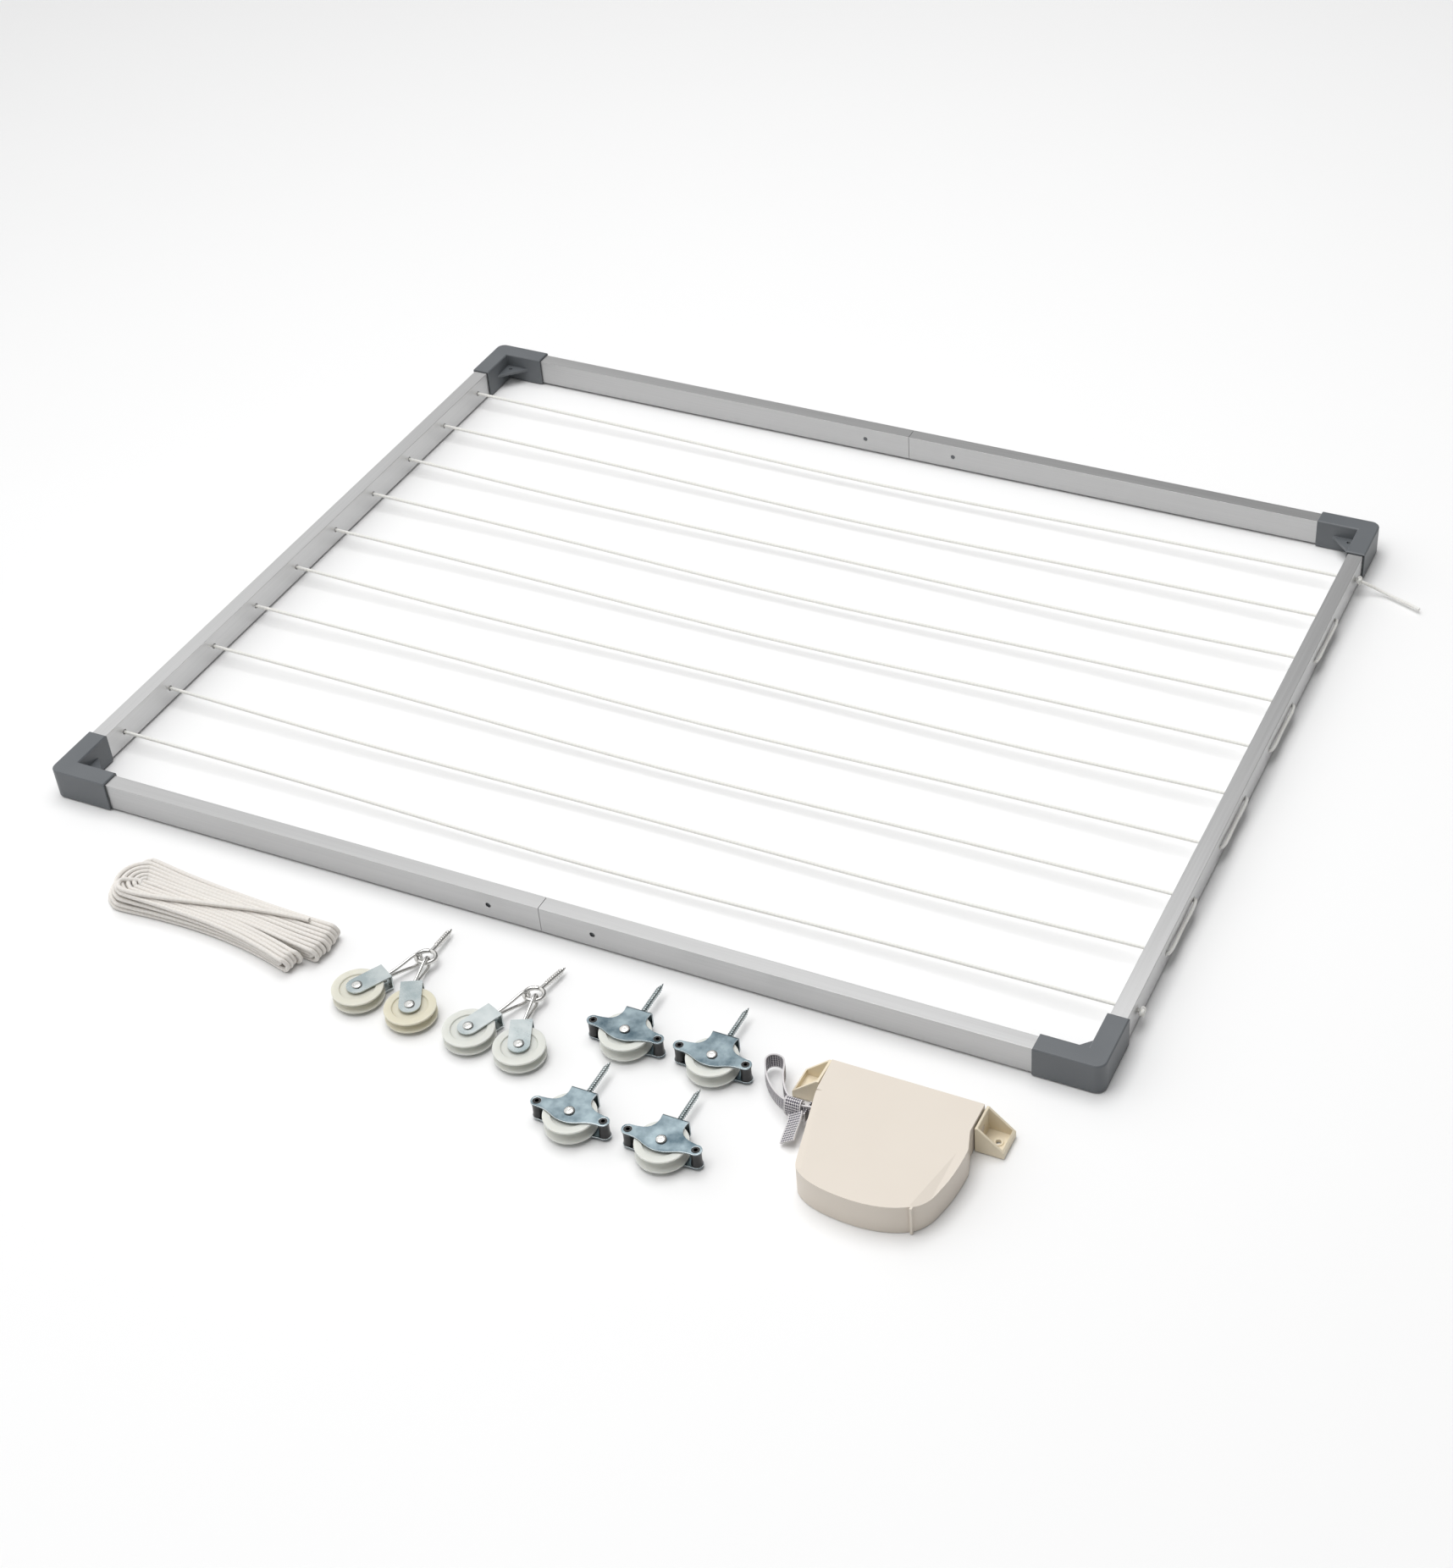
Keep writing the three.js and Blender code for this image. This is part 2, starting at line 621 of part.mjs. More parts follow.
// The strap bends round the sheave in a square U; the origin is the outside of its web.
function pulleyStrap() {
  const leaf = new THREE.Shape();
  leaf.moveTo(-STRAP_HALF, 0);
  leaf.lineTo(-STRAP_HALF, -STRAP_REACH);
  leaf.absarc(0, -STRAP_REACH, STRAP_HALF, Math.PI, 2 * Math.PI, false);
  leaf.lineTo(STRAP_HALF, 0);
  const axle = solidOf(rivet(strapTop + HEAD_H).translate(0, -STRAP_REACH, 0));
  const web = box(-STRAP_HALF, STRAP_HALF, -PLATE, 0, HEAD_H, strapTop);
  return union(
    prism(leaf, HEAD_H, strapInside0, 6),
    prism(leaf, strapInside1, strapTop, 6),
    cut(web, bar("y", PIN_HOLE, -PLATE - 1, 1, 12).translate([0, 0, strapMid])),
    axle,
  );
}

// A split pin: an eye for the ring, two legs through the web, ends turned out inside.
function splitPin() {
  const clear = PLATE + GAP + PIN_R + 0.4;
  const end = PIN_REACH + RING_WIRE + PIN_R + 1;
  const bend = end - PIN_EYE;
  const side = [
    [-clear, PIN_SPREAD],
    [-clear, PIN_R + 1.4],
    [-clear * 0.6, PIN_R + 0.35],
    [0.5, PIN_R + 0.2],
    [bend * 0.3, PIN_R + 0.9],
    [bend * 0.68, PIN_EYE * 0.72],
    [bend - 2, PIN_EYE * 0.97],
    [bend + PIN_EYE * 0.5, PIN_EYE * 0.88],
    [bend + PIN_EYE * 0.88, PIN_EYE * 0.46],
  ];
  const upper = side.map(([y, z]) => [0, y, strapMid + z]);
  const lower = side.map(([y, z]) => [0, y, strapMid - z]).reverse();
  return swept([...upper, [0, end, strapMid], ...lower], PIN_R, 6);
}

function screwEye() {
  const ring = new THREE.TorusGeometry(RING_R, RING_WIRE, 8, 16);
  const inside = RING_R - RING_WIRE * 0.3;
  const point = EYE_TIP - 7;
  const profile = [
    [0, inside],
    [RING_WIRE * 0.95, inside],
    [RING_WIRE * 0.95, EYE_NECK - 1],
    [EYE_THREAD, EYE_NECK],
    [EYE_THREAD, point],
    [EYE_THREAD * 0.55, EYE_TIP - 2],
    [0, EYE_TIP],
  ];
  return union(solidOf(ring), solidOf(turned(profile, 8)));
}

HANGERS.forEach(({ at, turn, left, right }, index) => {
  const name = "hanger_" + (index + 1);
  const [eyeX, eyeY] = at;
  const eye = piece(name + "_screw_eye", screwEye(), STEEL, kit);
  eye.position.set(eyeX, eyeY, strapMid);
  eye.rotation.order = "ZXY";
  eye.rotation.set(rad(EYE_TILT), 0, rad(turn));
  for (const [side, [hook, pinHeading, strapHeading]] of [["left", left], ["right", right]]) {
    const webX = eyeX + RING_R * Math.cos(rad(hook)) + PIN_REACH * Math.cos(rad(pinHeading));
    const webY = eyeY + RING_R * Math.sin(rad(hook)) + PIN_REACH * Math.sin(rad(pinHeading));
    const web = new THREE.Group();
    web.position.set(webX, webY, 0);
    kit.add(web);
    const pin = piece(name + "_" + side + "_split_pin", splitPin(), STEEL, web);
    pin.rotation.z = rad(pinHeading + 90);
    const strap = new THREE.Group();
    strap.rotation.z = rad(strapHeading + 90);
    web.add(strap);
    piece(name + "_" + side + "_strap", pulleyStrap(), ZINC, strap);
    const wheel = piece(name + "_" + side + "_sheave", sheave(HANGER_SHEAVE_W), NYLON, strap);
    wheel.position.set(0, -STRAP_REACH, strapMid);
  }
});

// ------------------------------------------------------------------ strap winder
const winder = new THREE.Group();
winder.position.set(WINDER[0], WINDER[1], 0);
kit.add(winder);

// The case seen from above, drawn inset from its outer wall: hinge edge at y = 0.
function caseOutline(inset) {
  const side = CASE_W / 2 - inset;
  const depth = CASE_D - inset;
  // The case widens only past the circle that the lugs' far corner stands on, so it
  // can swing about its pivot.
  const lugCorner = Math.hypot(LUG_D - LUG_PAST - PIVOT, LUG_H - PIVOT);
  const shoulder = -PIVOT - lugCorner - 2 * GAP;
  const left = -side;
  const outline = new THREE.Shape();
  outline.moveTo(left, -inset);
  outline.lineTo(side, -inset);
  outline.lineTo(side, shoulder);
  outline.quadraticCurveTo(side + 2.8, shoulder - 8, side + 5.9, shoulder - 18);
  outline.quadraticCurveTo(side + 6.2, -depth * 0.58, side + 1.4, -depth * 0.72);
  outline.quadraticCurveTo(side - 1.6, -depth * 0.86, side - 12, -depth * 0.915);
  outline.quadraticCurveTo(side - 31, -depth * 1.008, 4, -depth);
  outline.quadraticCurveTo(left + 34, -depth * 0.99, left + 22.5, -depth * 0.9);
  outline.quadraticCurveTo(left + 19, -depth * 0.88, left + 17, -depth * 0.81);
  outline.lineTo(left + 2, SLOT[0] + 1);
  return outline;
}

// A side view in Y and Z, run along X: the hinge edge is round underneath, about the
// pivot, so that the case can swing up off the wall.
function hingeProfile(inset, z0, z1) {
  const profile = new THREE.Shape();
  profile.moveTo(-CASE_D - 5, z0);
  profile.lineTo(-PIVOT, z0);
  if (z0 < PIVOT) profile.absarc(-PIVOT, PIVOT, PIVOT - inset, -Math.PI / 2, 0, false);
  profile.lineTo(-inset, z1);
  profile.lineTo(-CASE_D - 5, z1);
  const width = CASE_W + 40;
  const options = { depth: width, bevelEnabled: false, curveSegments: 4 };
  const run = new THREE.ExtrudeGeometry(profile, options);
  run.translate(0, 0, -width / 2);
  run.rotateX(Math.PI / 2);
  run.rotateZ(Math.PI / 2);
  return solidOf(run);
}

const WEBBING_Z = [5.4, 5.4 + WEBBING];
const caseSide = CASE_W / 2;

// A shallow chamfer along one long side of the case's top, as a cutting wedge. It
// starts firstDrop deep at its hinge end and is drop deep at the other.
function bevelWedge(x0, y0, x1, y1, outX, firstDrop, drop) {
  const top = CASE_H + 2.5;
  const slope = (0.5 * drop) / Math.abs(outX);
  return wasm.Manifold.hull([
    [x0, y0, CASE_H + slope],
    [x1, y1, CASE_H + slope],
    [x1 + outX, y1, CASE_H - drop],
    [x0 + outX, y0, CASE_H - firstDrop],
    [x0, y0, top],
    [x1, y1, top],
    [x1 + outX, y1, top],
    [x0 + outX, y0, top],
  ]);
}

function winderCase() {
  const outer = prism(caseOutline(0), 0, CASE_H, 8).intersect(hingeProfile(0, 0, CASE_H));
  const roof = CASE_H - CASE_WALL;
  const inside = caseOutline(CASE_WALL);
  const hollow = prism(inside, CASE_WALL, roof, 4).intersect(
    hingeProfile(CASE_WALL, CASE_WALL, roof),
  );
  const opening = prism(inside, -1, CASE_WALL + 1, 4).intersect(
    box(-CASE_W, CASE_W, -CASE_D, -PIVOT, -1, CASE_WALL + 1),
  );
  const slot = box(
    -caseSide - 5,
    -caseSide + 20,
    SLOT[1],
    SLOT[0],
    WEBBING_Z[0] - 1,
    WEBBING_Z[1] + 1,
  );
  const rib = box(caseSide - 12.6, caseSide - 10.6, -CASE_D * 0.935, -CASE_D * 0.87, 0, CASE_H);
  const stub = (from, to) => bar("x", STUB_R, from, to, 12).translate([0, -PIVOT, PIVOT]);
  const reach = caseSide + LUG_GAP + LUG_WALL;
  return union(
    cut(
      union(outer, rib),
      hollow,
      opening,
      slot,
      bevelWedge(-caseSide + 7, SLOT[0] + 4, -caseSide + 26, -CASE_D * 0.89, -14, 3, 3),
      bevelWedge(caseSide - 1, -CASE_D * 0.4, caseSide - 14, -CASE_D * 0.91, 12, 0, 2.4),
    ),
    stub(caseSide - 0.5, reach - GAP),
    stub(-reach + GAP, -caseSide + 0.5),
  );
}

// The cover closes the underside and carries the post that the spool turns on.
function backCover() {
  const fit = caseOutline(CASE_WALL + GAP);
  const plate = prism(fit, GAP, GAP + COVER_T, 4).intersect(
    box(-CASE_W, CASE_W, -CASE_D, -PIVOT - GAP, 0, CASE_H),
  );
  const post = bar("z", POST_R, GAP, CASE_H - CASE_WALL - GAP, 12);
  return union(plate, post.translate([SPOOL[0], SPOOL[1], 0]));
}

// The spool is a drum open towards the cover, with the spring inside it.
const spoolZ0 = GAP + COVER_T + SPOOL_PLAY;
const spoolZ1 = CASE_H - CASE_WALL - SPOOL_PLAY;
function spool() {
  const bore = POST_R + RUN;
  const inside = SPOOL_DRUM - SPOOL_WALL;
  const roof = spoolZ1 - SPOOL_SIDE;
  const profile = [
    [bore, roof],
    [inside, roof],
    [inside, spoolZ0],
    [SPOOL_FLANGE, spoolZ0],
    [SPOOL_FLANGE, spoolZ0 + SPOOL_SIDE],
    [SPOOL_DRUM, spoolZ0 + SPOOL_SIDE],
    [SPOOL_DRUM, roof],
    [SPOOL_FLANGE, roof],
    [SPOOL_FLANGE, spoolZ1],
    [bore, spoolZ1],
    [bore, roof],
  ];
  return turned(profile, 16).rotateX(Math.PI / 2);
}

function strapRoll() {
  const mid = (spoolZ0 + spoolZ1) / 2;
  const half = Math.min(WEBBING, spoolZ1 - spoolZ0 - 2 * SPOOL_SIDE - 2 * GAP) / 2;
  const inside = SPOOL_DRUM + GAP + 0.4;
  const profile = [
    [inside, mid - half],
    [ROLL_R, mid - half],
    [ROLL_R, mid + half],
    [inside, mid + half],
    [inside, mid - half],
  ];
  return turned(profile, 18).rotateX(Math.PI / 2);
}

// A flat spring strip wound between the post and the drum.
function flatSpring() {
  const r0 = POST_R + 2.2;
  const r1 = SPOOL_DRUM - SPOOL_WALL - 1.6;
  const steps = SPRING_TURNS * 12;
  const outer = [];
  const inner = [];
  for (let i = 0; i <= steps; i++) {
    const a = (2 * Math.PI * i) / 12;
    const r = r0 + ((r1 - r0) * i) / steps;
    outer.push(new THREE.Vector2((r + SPRING_T) * Math.cos(a), (r + SPRING_T) * Math.sin(a)));
    inner.push(new THREE.Vector2(r * Math.cos(a), r * Math.sin(a)));
  }
  const strip = new THREE.Shape([...outer, ...inner.reverse()]);
  return prism(strip, spoolZ0 + 1, spoolZ1 - SPOOL_SIDE - 1);
}

piece("winder_case", winderCase(), CREAM_PLASTIC, winder);
piece("winder_back_cover", backCover(), CREAM_PLASTIC, winder);
for (const [name, made, material] of [
  ["winder_spool", spool(), CREAM_PLASTIC],
  ["winder_strap_roll", strapRoll(), WEB_STRAP],
  ["winder_spring", flatSpring(), SPRING_STEEL],
]) {
  const inside = piece(name, made, material, winder);
  inside.position.set(SPOOL[0], SPOOL[1], 0);
}

// A lug for the right side of the case; the left one is its mirror image.
function lug() {
  const x0 = caseSide + LUG_GAP;
  const x1 = x0 + LUG_W;
  const y1 = LUG_PAST;
  const y0 = y1 - LUG_D;
  const side = new THREE.Shape();
  side.moveTo(x0, 0);
  side.lineTo(x1, 0);
  side.lineTo(x1, LUG_LOW);
  side.lineTo(x0 + LUG_WALL, LUG_H);
  side.lineTo(x0, LUG_H);
  const options = { depth: LUG_D, bevelEnabled: false };
  const wedge = new THREE.ExtrudeGeometry(side, options);
  wedge.rotateX(Math.PI / 2);
  wedge.translate(0, y1, 0);
  const pocket = box(
    x0 + LUG_WALL,
    x1 - LUG_WALL,
    y0 + LUG_WALL,
    y1 - LUG_WALL,
    LUG_WALL,
    LUG_H + 1,
  );
  const bossX = x0 + LUG_W * 0.6;
  const bossY = (y0 + y1) / 2;
  const boss = bar("z", LUG_BOSS, LUG_WALL - 0.5, LUG_WALL + 1, 12);
  return cut(
    union(cut(solidOf(wedge), pocket), boss.translate([bossX, bossY, 0])),
    bar("z", LUG_SCREW, -1, LUG_H, 10).translate([bossX, bossY, 0]),
    bar("x", STUB_R + RUN, x0 - 1, x0 + LUG_WALL + 1, 12).translate([0, -PIVOT, PIVOT]),
  );
}
const rightLug = lug();
piece("winder_lug_right", rightLug, CREAM_PLASTIC, winder);
piece("winder_lug_left", rightLug.mirror([1, 0, 0]), CREAM_PLASTIC, winder);

// The strap's free end: a knot at the slot, a doubled loop and a short tail.
function strapEnd() {
  const slotX = -caseSide + 2.2;
  const midY = (SLOT[0] + SLOT[1]) / 2;
  const z0 = WEBBING_Z[0];
  const z1 = WEBBING_Z[1];
  const thick = 1.6;
  const band = (points, width) => {
    const edge = [];
    const back = [];
    points.forEach(([x, y], i) => {
      const [ax, ay] = points[Math.max(i - 1, 0)];
      const [bx, by] = points[Math.min(i + 1, points.length - 1)];
      const length = Math.hypot(bx - ax, by - ay);
      const nx = (-(by - ay) / length) * (width / 2);
      const ny = ((bx - ax) / length) * (width / 2);
      edge.push(new THREE.Vector2(x + nx, y + ny));
      back.push(new THREE.Vector2(x - nx, y - ny));
    });
    return new THREE.Shape([...edge, ...back.reverse()]);
  };
  const neck = band([[slotX - 0.6, midY + 1], [slotX - 6, midY + 1]], thick);
  const loop = band(
    [
      [slotX - 12, midY],
      [-caseSide - 22, midY + 4],
      [-caseSide - 34, midY + 16],
      [-caseSide - 47, midY + 36],
    ],
    9,
  );
  const tail = band([[slotX - 6, midY - 4], [-caseSide + 1, midY - 16], [-caseSide + 2.5, midY - 24]], 3);
  const knot = new THREE.Shape();
  knot.moveTo(slotX - 4, midY - 6);
  knot.lineTo(slotX - 4, midY + 7);
  knot.lineTo(slotX - 18, midY + 9);
  knot.lineTo(slotX - 18, midY - 8);
  return union(
    prism(neck, z0, z1),
    prism(knot, z0 - 3, z1 + 1),
    prism(loop, z0 - 4, z1 - 2),
    prism(tail, z0 - 4, z1 - 6),
  );
}
piece("lift_strap_end", strapEnd(), WEB_STRAP, winder);

// The origin is under the middle of everything but the free rope and strap.
const measured = new THREE.Box3();
kit.updateMatrixWorld(true);
kit.traverse((object) => {
  const free = ["hoist_rope_hank", "lift_strap_end"].includes(object.name);
  if (object.isMesh && !free) measured.expandByObject(object, true);
});
const centre = measured.getCenter(new THREE.Vector3());
kit.position.set(-centre.x, -centre.y, -measured.min.z);

export default kit;
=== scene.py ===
# %% [markdown]
# # A ceiling drying rack, laid out as a kit
# The rack's working shape comes from the CAD frame: rails, corners, pulleys, screws and winder. This
# lesson gives each of them its finish, and makes the soft things, rope, line and webbing, at their
# real size. Everything is in metres, in the same frame as the CAD.

# %% Load the fixed frame
import json
import math
import random

import bmesh
import bpy
from mathutils import Matrix, Vector


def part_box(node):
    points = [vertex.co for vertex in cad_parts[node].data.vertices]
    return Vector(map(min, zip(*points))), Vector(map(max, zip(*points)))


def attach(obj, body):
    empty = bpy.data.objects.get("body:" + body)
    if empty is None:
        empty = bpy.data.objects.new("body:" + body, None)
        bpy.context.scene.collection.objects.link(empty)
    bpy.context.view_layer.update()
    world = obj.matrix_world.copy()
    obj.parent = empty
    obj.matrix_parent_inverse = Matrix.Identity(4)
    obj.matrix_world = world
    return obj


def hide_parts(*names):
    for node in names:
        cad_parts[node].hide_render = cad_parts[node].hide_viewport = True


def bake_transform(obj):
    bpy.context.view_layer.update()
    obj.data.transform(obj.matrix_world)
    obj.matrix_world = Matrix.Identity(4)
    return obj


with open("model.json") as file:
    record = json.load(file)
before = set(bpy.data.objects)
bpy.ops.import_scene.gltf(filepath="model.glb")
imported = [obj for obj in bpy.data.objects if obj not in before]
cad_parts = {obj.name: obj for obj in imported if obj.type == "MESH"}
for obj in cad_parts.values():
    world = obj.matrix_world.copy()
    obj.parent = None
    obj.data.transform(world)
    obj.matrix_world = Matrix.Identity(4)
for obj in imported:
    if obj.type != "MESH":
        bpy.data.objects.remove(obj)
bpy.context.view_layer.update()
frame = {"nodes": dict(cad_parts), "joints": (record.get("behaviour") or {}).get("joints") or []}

MM = 0.001
corner = Vector((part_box("side_tube_left")[0].x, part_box("front_tube_left_half")[0].y, 0))
joints = {j["name"]: j for j in frame["joints"]}


def spot(x, y, z=0.0):
    """A point in millimetres from the frame's front left corner, on the floor."""
    return corner + Vector((x, y, z)) * MM


print("front left corner at", tuple(round(v, 4) for v in corner))

# %% [markdown]
# ## Camera
# A long lens keeps the far rail nearly as long as the near one.

# %% Camera
CAMERA_X, CAMERA_Y, CAMERA_Z = 1438.8, -1302.8, 1453.3
LENS = 63.05
SHIFT_X, SHIFT_Y = -0.1205, 0.0266
AZIMUTH = math.radians(24.782)
ELEVATION = math.radians(40.505)
ROLL = math.radians(-2.2115)
camera = bpy.data.objects.new("camera", bpy.data.cameras.new("camera"))
bpy.context.scene.collection.objects.link(camera)
camera.data.sensor_width = 36
camera.data.sensor_fit = "HORIZONTAL"
camera.data.lens = LENS
camera.data.shift_x = SHIFT_X
camera.data.shift_y = SHIFT_Y
camera.data.clip_end = 50
turn = Matrix.Rotation(AZIMUTH, 4, "Z") @ Matrix.Rotation(math.pi / 2 - ELEVATION, 4, "X")
stand = Matrix.Translation(spot(CAMERA_X, CAMERA_Y, CAMERA_Z))
camera.matrix_world = stand @ turn @ Matrix.Rotation(ROLL, 4, "Z")
bpy.context.scene.camera = camera
print("camera at", tuple(round(v, 3) for v in camera.matrix_world.translation))

# %% [markdown]
# ## Shader maths as plain expressions
# Node trees are easier to read as sums. This small class wraps one socket, and its operators add Math
# nodes, so 1 - mask and mask * 0.2 work as they do on paper. Colours are mixed by a method of their
# own, because a Math node would turn them grey.

# %% Socket maths
class Value:
    def __init__(self, tree, socket):
        self.tree = tree
        self.socket = socket

    def _math(self, operation, *given):
        made = node(self.tree, "ShaderNodeMath", {"operation": operation}, given)
        return Value(self.tree, made.outputs[0])

    def __add__(self, other):
        return self._math("ADD", self, other)

    def __radd__(self, other):
        return self._math("ADD", other, self)

    def __sub__(self, other):
        return self._math("SUBTRACT", self, other)

    def __rsub__(self, other):
        return self._math("SUBTRACT", other, self)

    def __mul__(self, other):
        return self._math("MULTIPLY", self, other)

    def __rmul__(self, other):
        return self._math("MULTIPLY", other, self)

    def __gt__(self, other):
        return self._math("GREATER_THAN", self, other)

    def wave(self):
        return self._math("SINE", self)

    def clamped(self):
        return Value(self.tree, node(self.tree, "ShaderNodeClamp", {}, [self]).outputs[0])


def node(tree, kind, settings, inputs):
    """Adds a node: its settings first, then the values or links of its sockets."""
    made = tree.nodes.new(kind)
    for key, setting in settings.items():
        setattr(made, key, setting)
    pairs = inputs.items() if isinstance(inputs, dict) else enumerate(inputs)
    for key, given in pairs:
        if isinstance(given, Value):
            tree.links.new(given.socket, made.inputs[key])
        elif given is not None:
            made.inputs[key].default_value = given
    return made


class Finish:
    """One material: a Principled shader, the coordinates it is worked out in, and its relief."""

    def __init__(self, name, roughness, metallic=0.0, **fixed):
        self.material = bpy.data.materials.new(name)
        self.material.use_nodes = True
        self.tree = self.material.node_tree
        self.shader = self.tree.nodes["Principled BSDF"]
        self.shader.inputs["Roughness"].default_value = roughness
        self.shader.inputs["Metallic"].default_value = metallic
        for key, given in fixed.items():
            self.shader.inputs[key.replace("_", " ")].default_value = given
        self.here = Value(self.tree, node(self.tree, "ShaderNodeTexCoord", {}, {}).outputs["Object"])

    def noise(self, scale, stretch=(1, 1, 1), detail=3.0):
        spread = node(self.tree, "ShaderNodeMapping", {}, {"Vector": self.here, "Scale": stretch})
        where = Value(self.tree, spread.outputs[0])
        made = node(self.tree, "ShaderNodeTexNoise", {}, {"Vector": where, "Scale": scale, "Detail": detail})
        return Value(self.tree, made.outputs[0])

    def along(self):
        """Distance along and share around a cord or strap, written on its mesh in corners."""
        read = node(self.tree, "ShaderNodeAttribute", {"attribute_name": "run"}, {})
        split = node(self.tree, "ShaderNodeSeparateXYZ", {}, [Value(self.tree, read.outputs["Vector"])])
        return Value(self.tree, split.outputs[0]), Value(self.tree, split.outputs[1])

    def colour(self, base, other, share):
        settings = {"data_type": "RGBA"}
        mix = node(self.tree, "ShaderNodeMix", settings, {0: share, 6: (*base, 1), 7: (*other, 1)})
        self.tree.links.new(mix.outputs[2], self.shader.inputs["Base Color"])
        return self

    def rough(self, value):
        self.tree.links.new(value.socket, self.shader.inputs["Roughness"])
        return self

    def relief(self, height, distance, strength):
        given = {"Height": height, "Distance": distance, "Strength": strength}
        made = node(self.tree, "ShaderNodeBump", {}, given)
        self.tree.links.new(made.outputs[0], self.shader.inputs["Normal"])
        return self


print("socket maths ready")

# %% [markdown]
# ## Finishes
# Each finish is a base colour, a second colour that breaks it up, a roughness that wanders, and a fine
# relief at the size of the real one: drawn streaks run along a rail, zinc clouds in patches, and
# moulded plastic has a very fine grain.

# %% Metals and plastics
STREAK_LONG, STREAK_FINE = 6, 700
WARM_SCATTER = (1.0, 0.95, 0.88)


def drawn_aluminium(name, along_x):
    """Drawn metal: streaks that are long one way and very fine the other two. The base tone is painted shade:
    darker for rails along X than for rails along Y.
    """
    stretch = [STREAK_FINE] * 3
    stretch[0 if along_x else 1] = STREAK_LONG
    f = Finish(name, 0.36, 1.0)
    streak = f.noise(1.0, stretch, 2.0)
    # Painted light and shade: rails along X get a darker base and side rails a lighter one, standing in for
    # how bright the room each of them mirrors is.
    shade = 0.47 if along_x else 0.56
    f.colour((shade,) * 3, (shade + 0.09,) * 3, streak)
    f.rough(streak * 0.12 + 0.34)
    return f.relief(streak, 0.00002, 0.25).material


def moulded(name, base, other, roughness, grain=1400.0, **fixed):
    """Moulded plastic: a faint cloud of a second colour and a very fine grain."""
    f = Finish(name, roughness, 0.0, **fixed)
    cloud = f.noise(22.0)
    fine = f.noise(grain, detail=2.0)
    f.colour(base, other, cloud)
    f.rough(fine * 0.12 + (roughness - 0.06))
    return f.relief(fine, 0.00003, 0.35).material


def plated(name, base, other, roughness, cloud=55.0):
    """Plated metal: two tones in patches, with fine scratches."""
    f = Finish(name, roughness, 1.0)
    patch = f.noise(cloud, detail=5.0)
    scratch = f.noise(1.0, (90, 900, 900), 2.0)
    f.colour(base, other, (patch * 3.0 - 1.0).clamped())
    f.rough(patch * 0.16 + scratch * 0.06 + (roughness - 0.1))
    return f.relief(scratch, 0.00001, 0.2).material


# Two copies of one aluminium whose base tones differ only as painted light and shade.
ALUMINIUM_X = drawn_aluminium("drawn_aluminium_across", True)
ALUMINIUM_Y = drawn_aluminium("drawn_aluminium_along", False)
GREY = moulded("grey_moulding", (0.105, 0.115, 0.125), (0.14, 0.15, 0.16), 0.42)
BLACK = moulded("black_moulding", (0.006, 0.006, 0.007), (0.012, 0.012, 0.013), 0.3)
CREAM = moulded("cream_moulding", (0.70, 0.635, 0.555), (0.73, 0.665, 0.585), 0.42)
CREAM_LUG = moulded("cream_lug_moulding", (0.77, 0.68, 0.51), (0.80, 0.72, 0.57), 0.42)
NYLON_SSS = {"Subsurface_Weight": 0.6, "Subsurface_Scale": 0.006, "Subsurface_Radius": WARM_SCATTER}
NYLON = moulded("white_nylon", (0.63, 0.645, 0.60), (0.70, 0.71, 0.67), 0.36, **NYLON_SSS)
NYLON_CREAMY = moulded("creamy_nylon", (0.64, 0.63, 0.54), (0.70, 0.69, 0.61), 0.36, **NYLON_SSS)
NYLON_AGED = moulded("aged_nylon", (0.64, 0.61, 0.48), (0.70, 0.665, 0.54), 0.36, **NYLON_SSS)
ZINC = plated("zinc_plate", (0.085, 0.125, 0.15), (0.30, 0.37, 0.40), 0.30, 70.0)
ZINC_PALE = plated("pale_zinc_plate", (0.36, 0.42, 0.43), (0.56, 0.60, 0.60), 0.27, 48.0)
# Painted highlight: a lighter, glossier zinc for the plates' rounded edges, standing in for the glint along
# them.
ZINC_RIM_HIGHLIGHT = plated("painted_highlight_zinc_rim", (0.62, 0.66, 0.67), (0.74, 0.77, 0.77), 0.24)
STEEL = plated("bright_steel", (0.60, 0.60, 0.58), (0.72, 0.71, 0.69), 0.24)
SPRING = plated("spring_steel", (0.09, 0.09, 0.10), (0.14, 0.14, 0.16), 0.36)
print("metals and plastics:", len(bpy.data.materials))

# %% [markdown]
# ## Fibres
# Rope, line and strap are woven or braided. A pattern in space would slide over them as they bend, so
# these finishes read how far along and around the cord each point is, and draw the weave from that.

# %% Fibres
STRAP_ROWS, DASH_PITCH, SELVAGE = 8, 0.0022, 0.07


def corded(name, base, shade, strands, pitch, depth):
    """Strands laid round a cord: a sine that climbs as it goes round."""
    f = Finish(name, 0.72, 0.0, Subsurface_Weight=0.2, Subsurface_Scale=0.002,
               Subsurface_Radius=WARM_SCATTER)
    far, around = f.along()
    left = (far * (2 * math.pi / pitch) + around * (2 * math.pi * strands)).wave()
    right = (far * (2 * math.pi / pitch) - around * (2 * math.pi * strands)).wave()
    weave = left * right * 0.5 + 0.5
    # Painted shade: where the weave is low, in the grooves between strands, the cord takes its darker colour;
    # the noise adds random tone.
    f.colour(shade, base, weave * 0.7 + f.noise(60.0) * 0.3)
    return f.relief(weave, depth, 0.6).material


